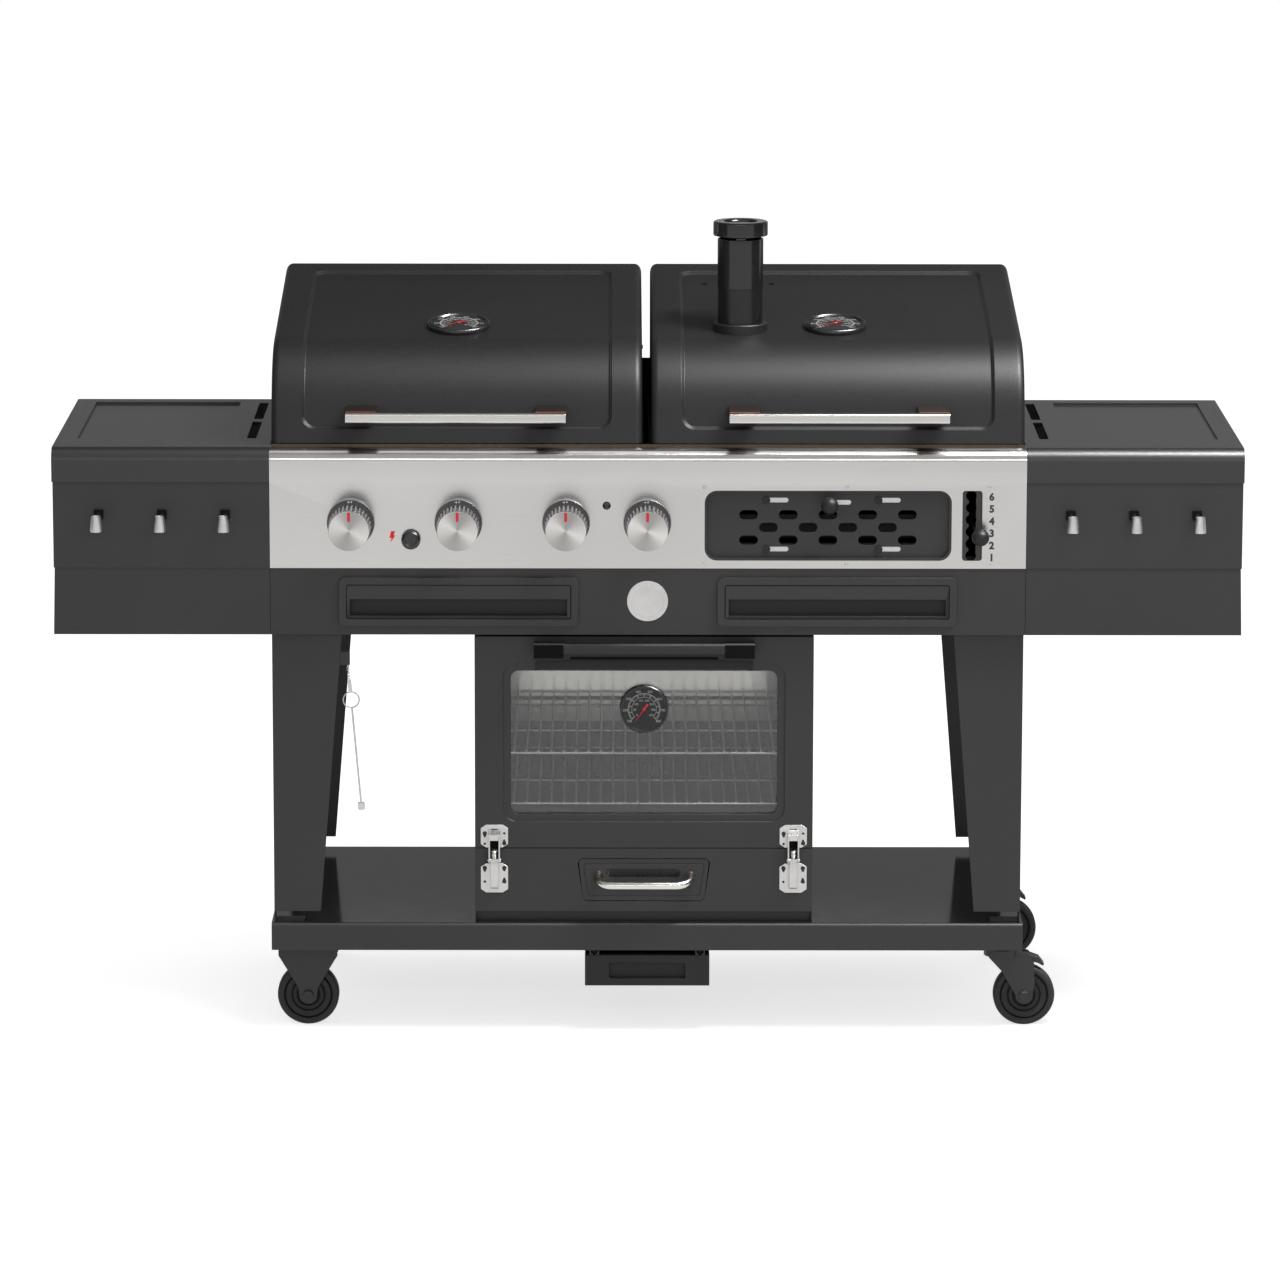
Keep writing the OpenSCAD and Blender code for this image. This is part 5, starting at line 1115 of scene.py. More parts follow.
# ---------------------------------------------------------------- front
class GRILL_OT_front(bpy.types.Operator):
    """Makes the steel control panel, its print, its screws and the apron"""

    bl_idname = "grill.front"
    bl_label = "Front"

    def execute(self, context):
        panel = carried("control_panel", ["brushed_stainless"], 0, 30)
        apron = carried("drawer_apron", ["powder_coat_front"], 0.8, 30)
        # numerals of the lever's heights, in one column between two image points
        ends = [on_surface(*POINTS[f"numeral_{i}"][1:3], panel) for i in (1, 6)]
        for i in range(6):
            spot = ends[0].lerp(ends[1], i / 5)
            lettering(f"numeral_{i + 1}", str(i + 1), 12.2, spot, (0, -1, 0), (0, 0, 1), "cart",
                      "dark_print", 0.75)
        # bolt sign beside the igniter
        spot = on_surface(*POINTS["spark_sign"][1:3], panel)
        sign = Shape()
        sign.prism([(-2.0, 10), (5.0, 10), (2.4, 2.8), (5.6, 2.8), (-3.6, -10), (-1.0, -1.6), (-4.8, -1.6)],
                   -0.15, 0, "y")
        sign.turned(Matrix.Translation(measured(spot)))
        sign.piece("spark_sign", "cart", ["red_print"], "enamel")
        # plain round plate in the middle of the apron
        spot = on_surface(*POINTS["round_plate"][1:3], apron)
        plate = Shape()
        plate.lathe([(0, -0.9), (25.5, -0.9), (26.4, -0.5), (27.4, -1.1), (33.4, -1.1), (34.4, -0.6),
                     (34.4, 0), (0, 0)], measured(spot), "y", 72)
        plate.piece("plain_badge_plate", "cart", ["zinc_plate"], "zinc")
        # hex screws of the vent and lever plate
        head = item_of(lambda s: s.lathe([(0, -1.1), (1.6, -1.1), (1.9, -1.6), (3.1, -1.5), (3.5, -1.0),
                                          (3.5, 0), (0, 0)], (0, 0, 0), "y", 6))
        screws = grown("vent_plate_screws", "rows", {"Count": 3, "Rows": 2, "Step": (0.23867, 0, 0),
            "Row step": (0, 0, 0.1305), "Finish": "zinc_plate"}, "cart", "steel", head,
            at=(94.95, 1.5, 814.5))
        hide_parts("panel_screws")
        # plug of the small hole between the third and fourth knob
        plug = Shape()
        plug.lathe([(0, -1.2), (4.5, -1.2), (6.8, 0.2), (7.4, 3), (0, 3)], (-69.5, 1.5, 913.8), "y", 32)
        plug.piece("round_plug", "cart", ["dial_case"], "plastic")
        # strip under the lids' front edges, and dark closers that fill the gaps between the apron and the
        # side shelves with painted shade
        strip = Shape()
        strip.box((-634, 26.5, 1010.05), (634, 29.4, 1014))
        for x in (-635.3, 635.3):
            strip.box((x - 1.9, 5.5, 693.2), (x + 1.9, 9, 809.8), 1)
        strip.piece("lid_seat_strip", "cart", ["bronzed_steel", "powder_coat_dark"], "steel")
        return {"FINISHED"}


KNOBS, KNOB_Z = (-498.7, -318.1, -137.5, -1.2), 885.3


class GRILL_OT_knobs(bpy.types.Operator):
    """Makes the four knobs, their bezels and the igniter button"""

    bl_idname = "grill.knobs"
    bl_label = "Knobs"

    def execute(self, context):
        for i, x in enumerate(KNOBS, 1):
            self.knob(context.scene.grill_fittings, i, x, KNOB_Z)
            self.bezel(i, x, KNOB_Z)
        button = Shape()
        button.lathe([(0, -11.2), (8, -11.2), (9.2, -11.6), (10.0, -13.4), (11.6, -13.9), (13.6, -13),
                      (15.4, -11), (16, -8.5), (16, -6), (6, -6), (6, 10), (0, 10)],
                     (-398, 0, 856.3), "y", 48)
        button.piece("igniter_cap", "igniter", ["dial_case"], "plastic", ["igniter_button"])
        return {"FINISHED"}

    def knob(self, given, i, x, z):
        """Barrel with its skirt, flared ribs, spun face and red mark."""
        body = f"knob_{i}"
        front = -given.knob_reach * 1000
        barrel = Shape()
        barrel.lathe([(0, front + 1.2), (32.4, front + 1.2), (32.8, front + 2.4), (33.0, -44), (34.8, -40),
                      (31, -39), (22, -38.6), (20, -36), (20, -8), (4.2, -8), (4.2, -46), (0, -46)],
                      (x, 0, z), "y", 60)
        barrel.piece(f"knob_barrel_{i}", body, ["moulded_nylon"], "plastic", [f"control_knob_{i}"])
        rib = item_of(lambda s: s.prism([(-2.5, -1.3), (2.5, -1.3), (2.3, 0.6), (1.3, 1.7),
                                         (-1.3, 1.7), (-2.3, 0.6)], front + 3.4, -41.5, "y"))
        # each rib stands 1.8 mm further out at its root, so the knob flares towards the panel
        for k, p in enumerate(rib.points):
            rib.points[k] = Vector((p.x, p.y, p.z + (1.8 if p.y > -60 else 0.0)))
        grown(f"knob_ribs_{i}", "ring", {"Count": given.knob_ribs, "Radius": 0.0322, "Start": math.radians(6),
              "Step": math.tau / given.knob_ribs, "Finish": "highlit_rib_nylon"}, body, "plastic",
              rib, at=(x, 0, z))
        face = Shape()
        face.lathe([(0, front + 0.1), (32.4, front + 0.1), (33.6, front + 0.7), (34.0, front + 1.8),
                    (33.8, front + 2.6), (0, front + 2.6)], (x, 0, z), "y", 72)
        spun = face.piece(f"knob_face_{i}", body, ["spun_satin"], "satin").data
        flat = spun.uv_layers.new(name="from_middle")
        for loop in spun.loops:
            away = spun.vertices[loop.vertex_index].co - place(x, 0, z)
            flat.data[loop.index].uv = (away.x, away.z)
        mark = Shape()
        mark.prism(rounded_rect((x - 2.5, z + 15.5), (x + 2.5, z + 31.8), 2.4), front, front + 0.9, "y")
        mark.piece(f"knob_mark_{i}", body, ["red_enamel"], "enamel")

    def bezel(self, i, x, z):
        """Dished ring on the panel with its two small signs."""
        bezel = Shape()
        bezel.lathe([(38.4, -8.2), (39.2, -8.9), (39.9, -8.3), (40, -6), (40, 1.4), (9, 1.4),
                     (9, -3.8), (30, -3.9), (37, -6.9)], (x, 0, z), "y", 72, 0, True)
        bezel.piece(f"bezel_{i}", "cart", ["painted_bezel"], "bezel", ["knob_bezels"])
        sign = Shape()
        sign.prism([(x - 6.5, z + 35.4), (x - 2.2, z + 33.8), (x - 2.2, z + 37)], -7.9, -6.2, "y")
        sign.prism([(x + 0.4, z + 34.2), (x + 2.2, z + 34.2), (x + 2.2, z + 37.6), (x + 0.4, z + 37.6)],
                   -8.1, -6.2, "y")
        sign.piece(f"bezel_sign_{i}", "cart", ["pale_print"], "enamel")


# Middle of the vent, and the slots of its shutter's guides from there
VENT, VENT_Z = 302.3, 880.0
GUIDES = ((-103.7, 41.7), (84.8, 41.7), (-103.2, -41.7), (85.5, -41.7))


class GRILL_OT_vent(bpy.types.Operator):
    """Makes the air vent with its sliding shutter, and the lift lever"""

    bl_idname = "grill.vent"
    bl_label = "Vent and lever"

    def execute(self, context):
        carried("vent_plate", ["powder_coat_front"], 0.5, 30)
        # zinc strips that shine through the slots of the guides and of the shutter's knob
        strips = Shape()
        for gx, gz in GUIDES + ((1.6, 38.0),):
            strips.box((VENT + gx - 5, 13.05, VENT_Z + gz - 5), (VENT + gx + 40, 13.3, VENT_Z + gz + 5))
        strips.piece("vent_slot_liners", "cart", ["zinc_plate"], "steel")
        carried("vent_shutter", ["phenolic_ball"], 0, 32)
        bent = carried("lift_lever", ["phenolic_ball"], 0, 32)
        # the arm bends to the right over 60 mm, and its ball then sits 12 mm aside
        for vertex in bent.data.vertices:
            out = (20 + FRONT - vertex.co.y * 1000) / 60
            vertex.co.x += 0.012 * min(1, max(0, out))
        return {"FINISHED"}


# Edges of the side shelves' tops that sit nearer the middle or the front than in the solids, in mm: each is
# a range from the middle outwards, a range from front to back, and how far it moves inwards and forwards
TOP_MOVES = (((680, 694), (118, 524), 9, 0), ((656, 694), (118, 524), 0, 11),
             ((708, 722), (112, 530), 4, 0), ((708, 975), (120, 134), 0, 16))
# Spacing of a shelf's three hooks, the middle one's distance from the middle, and their height
HOOK_STEP, HOOK_X, HOOK_Z = 106, 815.5, 898


class GRILL_OT_shelves(bpy.types.Operator):
    """Makes the side shelves and their tool hooks"""

    bl_idname = "grill.shelves"
    bl_label = "Side shelves"

    def execute(self, context):
        tops = carried("side_shelf_tops", ["powder_coat_black"], 0.5, 30)
        for vertex in tops.data.vertices:
            x, y, z = abs(vertex.co.x) * 1000, vertex.co.y * 1000 - FRONT, vertex.co.z * 1000
            side = math.copysign(0.001, vertex.co.x)
            for (x0, x1), (y0, y1), inwards, forwards in TOP_MOVES:
                if z > 950 and x0 < x < x1 and y0 < y < y1:
                    vertex.co.x -= side * inwards
                    vertex.co.y -= forwards / 1000
        # the panels' lower outer corners stand 2.8 mm further out
        sides = carried("side_shelf_panels", ["powder_coat_front"], 0.5, 30)
        for vertex in sides.data.vertices:
            if vertex.co.z < 0.806 and abs(vertex.co.x) > 0.99:
                vertex.co.x += math.copysign(0.0028, vertex.co.x)
        bell = item_of(lambda s: (
            s.lathe([(7.0, 9), (7.4, 11.6), (8.1, 11.6), (8.4, 8), (10.3, -12), (10.1, -14.6), (8.0, -15.9),
                     (0, -16)], (0, -58, HOOK_Z - 4.5), "z", 32),
            s.lathe([(7.0, 9), (0, 8.8)], (0, -58, HOOK_Z - 4.5), "z", 32)))
        # the stem and a plate on the panel behind it are in the painted shade black, which also stands for
        # the hook's shadow on the panel
        stem = item_of(lambda s: (
            s.lathe([(0, -58), (3.6, -58), (3.6, -2.5), (0, -2.5)], (0, 0, HOOK_Z), "y", 20),
            s.prism(rounded_rect((-8, 890), (8, 906.5), 1.5, 2), -2.6, 1.5, "y")))
        for label, x in (("left", -HOOK_X), ("right", HOOK_X)):
            for name, item, coat in (("hooks_", bell, "zinc_plate"),
                                     ("hook_stems_", stem, "painted_shade_black")):
                hooks = grown(name + label, "rows", {"Count": 3, "Rows": 1, "Step": (HOOK_STEP / 1000, 0, 0),
                              "Finish": coat}, "cart", "steel", item, at=(x - HOOK_STEP, 0, 0))
                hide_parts("tool_hooks")
        return {"FINISHED"}


class GRILL_OT_drawers(bpy.types.Operator):
    """Makes the grease and ash drawers"""

    bl_idname = "grill.drawers"
    bl_label = "Drawers"

    def execute(self, context):
        for node in ("grease_drawer", "ash_drawer"):
            drawer = carried(node, ["powder_coat_dark", "powder_coat_front"], 0.9, 30)
            # the front's upper half takes the front coat; the lip below it and the tray behind take the
            # darker coat, as painted shade
            for face in drawer.data.polygons:
                at = measured(face.center)
                face.material_index = 1 if at.z > 752 and at.y < 0 else 0
        return {"FINISHED"}


# ---------------------------------------------------------------- smoker
# Left and right side of the cabinet, and its middle line
CABINET, MIDDLE = (-292.6, 280.6), -6.0


class GRILL_OT_smoker_door(bpy.types.Operator):
    """Makes the smoker's door with its glass, its dial and its grip"""

    bl_idname = "grill.smoker_door"
    bl_label = "Smoker door"

    def execute(self, context):
        carried("smoker_door", ["powder_coat_front"], 0.8, 30)
        carried("door_glass", ["oven_glass"], 0, 30)
        z = 561.5
        # case, probe with its nut, and card of the thermometer
        case = Shape()
        case.lathe([(0, -11), (35.5, -11), (36.6, -11.4), (37.8, -13.6), (39.6, -14),
                    (41.2, -12.6), (41.5, -10), (41.5, -2), (39.5, 0), (0, 0)], (MIDDLE, 33, z), "y", 72)
        case.lathe([(0, 4), (3.2, 4), (3.2, 46), (0, 46)], (MIDDLE, 33, z), "y", 16, 2)
        case.lathe([(0, 4.1), (10, 4.1), (10, 7), (0, 7)], (MIDDLE, 33, z), "y", 6, 2)
        case.lathe([(0, -11.25), (35.6, -11.25), (35.6, -11), (0, -11)], (MIDDLE, 33, z), "y", 72, 1)
        case.piece("door_dial_case", "smoker_door", ["dial_case", "dial_card", "zinc_plate"],
                   "bezel", ["door_dial"])
        dial_print("door_dial", (MIDDLE, 21.6, z), 0.0, 36.5, "smoker_door", math.radians(-145))
        x0, x1 = MIDDLE - 186.5, MIDDLE + 186.5
        # the grip's two blocks are 51 mm wide, with the rolled bar between them
        inner0, inner1 = x0 + 51, x1 - 51
        grip = Shape()
        grip.prism([(-15.5, 663.5), (-10, 663), (-7, 663), (-7, 681), (-9.5, 681),
                    (-13, 679.5), (-15.5, 675.5)], inner0, inner1, "x")
        # the grip's underside in the darker coat, and a black strip along it: painted shade
        grip.prism([(-12.5, 658.4), (-12.5, 663.2), (-7, 663.2), (-7, 653), (-11, 653)],
                   inner0, inner1, "x", 2)
        grip.box((x0 + 62, -13, 653.6), (x1 - 62, -12, 658.2), 3)
        for a, b in ((x0, inner0), (inner1, x1)):
            grip.prism([(-16, 657), (-14, 653), (-7, 653), (25, 657), (25, 677), (-7, 681),
                        (-12, 681), (-16, 677)], a, b, "x", 1)
            grip.box((a + 0.6, -16.3, 656), (b - 0.6, -15.9, 679), 3)
        # strip on the door below the grip, the dark line over it and its two feet, in the darker coat and the
        # black: painted shade under the grip
        grip.box((x0 + 4, 21.6, 631), (x1 - 4, 25, 646.5), 2)
        grip.box((x0 + 6, 21, 646.5), (x1 - 6, 25, 653), 3)
        for x in (x0 + 3, x1 - 11):
            grip.box((x, 20.5, 628), (x + 8, 25, 640), 1)
        grip.piece("door_grip", "smoker_door",
                   ["moulded_nylon", "powder_coat_dark", "powder_coat_dark", "painted_shade_black"], "plastic",
                   ["door_handle"], 0.6)
        return {"FINISHED"}


class GRILL_OT_chamber(bpy.types.Operator):
    """Lines the smoking chamber and makes its racks"""

    bl_idname = "grill.chamber"
    bl_label = "Smoking chamber"

    def execute(self, context):
        count = context.scene.grill_fittings.rack_wires
        painted("smoker_cabinet", "powder_coat_dark")
        # the cabinet's walls are 20 mm thick; the lining lies 0.2 mm inside them and is 0.8 mm thick
        x0, x1, y0, y1, z0, z1 = CABINET[0] + 20, CABINET[1] - 20, 57.8, 540.0, 335.5, 667.0
        a0, a1, b1, c0, c1 = x0 + 0.2, x1 - 0.2, y1 - 0.2, z0 + 0.2, z1 - 0.2
        deep, floor_top, roof_low, sheet = y1 - 1.2, z0 + 1, z1 - 1, 0.8
        lining = Shape()
        # back: aluminised above the lower rack, and below it the painted shade liner; then roof, floor and
        # sides, in the painted shade liner too
        lining.box((a0, y1 - 1, 436), (a1, b1, z1 - 60))
        lining.box((a0, y1 - 1, c0), (a1, b1, 435.8), 1)
        lining.box((a0, y0, roof_low), (a1, deep, c1), 1)
        lining.box((a0, y0, c0), (a1, deep, floor_top), 1)
        for x in (a0, x1 - 1):
            lining.box((x, y0, c0), (x + sheet, deep, z1 - 1.2), 1)
            # ledges under the racks
            for z in (383, 471):
                lining.box((x - 5, 120, z), (x + 6, 480, z + 4), 2)
        lining.piece("chamber_lining", "cart", ["aluminised_lining", "painted_shade_liner", "nickel_wire"],
                     "steel")
        pitch = 21.0
        first = MIDDLE - pitch * (count - 1) / 2
        wire = item_of(lambda s: s.lathe([(0, 63.3), (1.9, 63.3), (1.9, 534), (0, 534)], (0, 0, 0), "y", 10))
        # two racks, at the heights of their rails
        for i, z in enumerate((391, 479), 1):
            wires = grown(f"rack_wires_{i}", "rows", {"Count": count, "Rows": 1, "Step": (pitch / 1000, 0, 0),
                          "Finish": "nickel_wire"}, "cart", "steel", wire, at=(first, 0, z + 1))
            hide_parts("smoker_racks")
            rails = Shape()
            for y in (63.3, 253.3, 474, 529):
                rails.lathe([(0, x0 + 3), (2.2, x0 + 3), (2.2, x1 - 3), (0, x1 - 3)],
                            (0, y, z - 1.5), "x", 12)
            rails.piece(f"rack_rails_{i}", "cart", ["nickel_wire"], "steel", ["smoker_racks"])
        return {"FINISHED"}


# Middles of the two hinges, and half the width of their plates
HINGES, PLATE_HALF = (-259.7, 247.7), 23.2
# The upper and the lower plate: their low and high edge, their key-shaped holes with the way that each one's
# tail points, and their round holes, from the hinge's middle
ARM_PLATE = (321.5, 361, ((-16.3, 346, -1), (16.6, 328.5, 1)), ((-16.3, 328), (16.8, 346)))
FOOT_PLATE = (243, 294, ((-16.4, 286, -1), (16.6, 286, -1), (16.6, 262, 1)), ((-16.4, 262),))


def hinge_plate(shape, x, low, top, keys, rounds):
    """Plate with cut corners, key-shaped holes and round holes."""
    left, right = x - PLATE_HALF, x + PLATE_HALF
    outline = [(left, top - 6), (left + 9, top), (right - 9, top), (right, top - 6)]
    outline += [(right, low + 6), (right - 9, low), (left + 9, low), (left, low + 6)]
    holes = [disc(x + u, v, 2.0, 12) for u, v in rounds]
    for u, v, tail in keys:
        head = [(x + u + 3.5 * math.cos(t), v - tail * 3.5 * math.sin(t))
                for t in [math.radians(a) for a in range(-20, 201, 20)]]
        holes.append(head + [(x + u - 1.3, v + tail * 6.2), (x + u, v + tail * 7.4),
                             (x + u + 1.3, v + tail * 6.2)])
    shape.prism(outline, 23, 25, "y", 0, holes)


class GRILL_OT_hinges(bpy.types.Operator):
    """Makes the two spring hinges of the smoker's door"""

    bl_idname = "grill.hinges"
    bl_label = "Spring hinges"

    def execute(self, context):
        turns = context.scene.grill_fittings.spring_turns
        # the arm's cheek and web, and the foot's strap, as they show from the side
        cheek = [(6.5, 301.5), (7.5, 298), (12, 296.5), (16.5, 298.5), (19, 311), (23, 320),
                 (23, 353), (19, 351), (9.5, 346)]
        web = [(9.5, 336), (12, 335), (23, 341), (23, 353), (19, 351), (9.5, 346)]
        strap = [(23, 249.5), (15, 253.5), (9, 289.5), (9, 299), (12, 305), (16, 304),
                 (16, 293.5), (23, 289.5)]
        arms, feet = Shape(), Shape()
        for x in HINGES:
            hinge_plate(arms, x, *ARM_PLATE)
            hinge_plate(feet, x, *FOOT_PLATE)
            for a in (x - 9.75, x + 7.25):
                arms.prism(cheek, a, a + 2.5, "x")
            arms.prism(web, x - 7.3, x + 7.3, "x")
            # dark patches on each arm in the painted shade black, where shade falls
            arms.box((x - 6, 22.4, 348.5), (x + 6, 23.1, 354), 1)
            arms.box((x - 7.2, 17.5, 322), (x + 7.2, 18.5, 336), 1)
            feet.prism(strap, x - 6.6, x + 6.6, "x")
            # hinge pin with its domed ends, and the post inside the spring
            feet.lathe([(0, x - 11.5), (2, x - 11.5), (3, x - 10.8), (3, x + 10.8),
                        (2, x + 11.5), (0, x + 11.5)], (0, 12, 302), "x", 20)
            feet.lathe([(0, 303), (2.4, 303), (2.4, 318), (0, 318)], (x, 12.5, 0), "z", 12)
            grown("hinge_spring_" + ("left" if x < 0 else "right"), "coil", {"Turns": turns, "Radius": 0.0037,
                  "Height": 0.014, "Wire": 0.0011, "Finish": "zinc_plate"}, "cart", "zinc", at=(x, 12.5, 304))
        arms.piece("hinge_arm_skins", "smoker_door", ["zinc_plate", "painted_shade_black"], "zinc",
                   ["hinge_arms"], 0.5)
        feet.piece("hinge_foot_skins", "cart", ["zinc_plate"], "zinc", ["hinge_lower_plates"], 0.5)
        return {"FINISHED"}


def tray_front(grow, corner=9):
    """Outline of the chip tray's front, grown all round, with its corners rounded off."""
    top_half, low_half, top, low = 111.5 + grow, 103 + grow, 301.5 + grow, 228.5 - grow
    corners = [Vector(c) for c in ((top_half, top), (-top_half, top), (-low_half, low), (low_half, low))]
    out = []
    for i, c in enumerate(corners):
        a, b = corners[i - 1], corners[(i + 1) % 4]
        one, two = c + (a - c).normalized() * corner, c + (b - c).normalized() * corner
        out += [tuple(one.lerp(c, t).lerp(c.lerp(two, t), t)) for t in (0, 0.25, 0.5, 0.75, 1)]
    return [(MIDDLE + u, v) for u, v in out]


class GRILL_OT_chip_tray(bpy.types.Operator):
    """Makes the wood chip tray with its bow handle"""

    bl_idname = "grill.chip_tray"
    bl_label = "Chip tray"

    def execute(self, context):
        carried("cabinet_lower_panel", ["powder_coat_front"], 0.6, 30)
        shape = Shape()
        # front with a raised border and a raised field
        shape.prism(tray_front(0), 27, 29, "y")
        shape.prism(tray_front(0), 25.9, 27.1, "y", 0, [tray_front(-7.5, 7)])
        shape.prism(tray_front(-9.5, 6), 25.9, 27.1, "y")
        # box behind it: front wall, two sides, back and floor
        left, right, back, low, high, wall = MIDDLE - 95, MIDDLE + 95, 326, 228, 278, 1.5
        shape.prism([(left, low), (right, low), (right, high), (left, high)], 28, 30, "y", 1)
        for x in (left, right - wall):
            shape.box((x, 30, low), (x + wall, back, high), 1)
        shape.box((left, back - wall, low), (right, back, high), 1)
        shape.box((left, 29, low), (right, back, low + wall), 1)
        # feet of the bow handle, and a dark plate behind it in the painted shade liner, which stands for the
        # shaded pocket
        bow, bow_foot, bow_z = 78.5, 26.5, 271
        for x in (MIDDLE - bow, MIDDLE + bow):
            shape.lathe([(0, 24.5), (8, 24.5), (8.8, 25.2), (8.8, 26.2), (0, 26.2)],
                        (x, 0, bow_z), "y", 32, 2)
        shape.prism(rounded_rect((MIDDLE - 64, 270), (MIDDLE + 62, 284), 6), 25.3, 26.0, "y", 3)
        shape.piece("chip_tray_skin", "chip_tray",
                    ["powder_coat_front", "heat_tinted_steel", "bronzed_steel", "painted_shade_liner"], "steel",
                    ["chip_tray"], 0.5)
        grown("chip_tray_bow", "rod", {"Radius": 0.0072, "Bend": 0.024, "Sides": 24, "Finish": "chrome"},
              "chip_tray", "chrome", path=[(MIDDLE - bow, bow_foot, bow_z), (MIDDLE - bow, -7, 262),
                              (MIDDLE + bow, -7, 262), (MIDDLE + bow, bow_foot, bow_z)])
        return {"FINISHED"}


# ---------------------------------------------------------------- cart
class GRILL_OT_cart(bpy.types.Operator):
    """Makes the lower shelf, the legs and the grease caddy"""

    bl_idname = "grill.cart"
    bl_label = "Cart"

    def execute(self, context):
        shelf = carried("lower_shelf", ["gloss_enamel", "powder_coat_front"], 0, 25)
        # only the tray's level floor is glossy
        for face in shelf.data.polygons:
            face.material_index = 0 if face.normal.z > 0.9 else 1
        carried("legs", ["powder_coat_front"], 0.5, 30)
        carried("caddy", ["powder_coat_dark"], 1.2, 30)
        carried("caddy_rails", ["phosphated_steel"], 0.3, 30)
        for node in ("side_panels", "back_panel", "shelf_channels", "drawer_runners"):
            painted(node, "powder_coat_dark")
        return {"FINISHED"}


# Height of the wheels' axles, and the outline of their nuts: radius, and distance from the wheel's middle
AXLE_Z = 52.5
AXLE_NUT = ((0, 22), (4, 22), (4.4, 23.6), (8.6, 23.4), (9.4, 22.6), (9.4, 18), (0, 18))


class GRILL_OT_casters(bpy.types.Operator):
    """Makes the four casters with their forks, nuts and brake pedals"""

    bl_idname = "grill.casters"
    bl_label = "Casters"

    def execute(self, context):
        carried("caster_mounts", ["caster_steel"], 0.5, 32)
        for end, y in (("front", 84), ("rear", 580)):
            carried(end + "_swivel_fork", ["caster_steel"], 0.5, 32, end + "_fork_skin")
            carried(end + "_brake_pedal", ["moulded_grip"], 0.8, 32, end + "_pedal_skin")
            for side, x, body in (("left", -580, "cart"), ("right", 646, end + "_swivel")):
                carried(f"{end}_{side}_wheel", ["rubber_tyre"], 0, 28)
                nut = Shape()
                for outward in (-1, 1):
                    nut.lathe([(r, outward * out) for r, out in AXLE_NUT], (x, y, AXLE_Z), "y", 6)
                nut.piece(f"{end}_{side}_axle_nuts", body, ["caster_steel"], "zinc", smooth=20)
                # black rings, painted shade that stands for the grooves in the wheel's outer face: radius and
                # half the width of each
                rings = Shape()
                for radius, width in ((39.5, 0.9), (27.5, 0.7), (19, 0.7)):
                    inner, outer = radius - width, radius + width
                    rings.lathe([(inner, y - 14.3), (outer, y - 14.3), (outer, y - 12), (inner, y - 12)],
                                (x, 0, AXLE_Z), "y", 48, 0, True)
                rings.piece(f"{end}_{side}_wheel_groove_shade", f"{end}_{side}_wheel",
                            ["painted_shade_black"], "wheel")
        return {"FINISHED"}


class GRILL_OT_match_holder(bpy.types.Operator):
    """Makes the match holder's chain, clasp, ring and rod"""

    bl_idname = "grill.match_holder"
    bl_label = "Match holder"

    def execute(self, context):
        # the pin that it hangs from; below it come the clasp, the ring, the rod and the clip
        x, y, z = -507.7, 32.0, 646.0
        body = "match_holder"
        eye = Shape()
        eye.lathe([(4.5, -1.2), (4.5, 1.2), (2.4, 1.2), (2.4, -1.2)], (x, y, z), "y", 24, 0, True)
        eye.prism(rounded_rect((x - 3, z - 58), (x + 3, z - 38), 2.4), y - 2.4, y + 2.4, "y")
        turns = [math.tau * k / 10 for k in range(10)]
        tube = [(13.5 + 1.2 * math.cos(t), 1.2 * math.sin(t)) for t in turns]
        eye.lathe(tube, (x, y, z - 71), "y", 40, 0, True)
        eye.lathe([(0, z - 250), (1.5, z - 250), (1.5, z - 84), (0, z - 84)], (x, y, 0), "z", 12)
        eye.prism(rounded_rect((x - 6, z - 262), (x + 6, z - 249), 3), y - 3, y + 3, "y")
        lean = Matrix.Rotation(math.radians(-5), 4, "Y")
        pin = Matrix.Translation((x, y, z))
        # it hangs askew by 5 degrees, as in the photograph
        eye.turned(pin @ lean @ pin.inverted())
        eye.piece("match_holder_parts", body, ["zinc_plate"], "zinc", ["match_holder"], 0.3)
        link = item_of(chain_link)
        grown("match_chain", "rows", {"Count": 7, "Rows": 1, "Step": (0, 0, -0.0052),
              "Turn": (0, 0, math.pi / 2), "Finish": "zinc_plate"}, body, "zinc", link,
              at=Matrix.Translation(place(x, y, z)) @ lean @ Matrix.Translation((0, 0, -0.0066)))
        return {"FINISHED"}


def chain_link(shape, steps=16, sides=6, wire=0.6):
    """Oval chain link that stands on end."""
    points = []
    for k in range(steps):
        t = math.tau * k / steps
        p = Vector((1.9 * math.cos(t), 0, 1.9 * math.sin(t) + (2.0 if math.sin(t) > 0 else -2.0)))
        out = Vector((p.x, 0, p.z)).normalized()
        for j in range(sides):
            a = math.tau * j / sides
            points.append(p + out * wire * math.cos(a) + Vector((0, wire * math.sin(a), 0)))
    faces = []
    for k in range(steps):
        for j in range(sides):
            here, ahead, side = k * sides, (k + 1) % steps * sides, (j + 1) % sides
            faces.append([here + j, here + side, ahead + side, ahead + j])
    shape.join(points, faces)


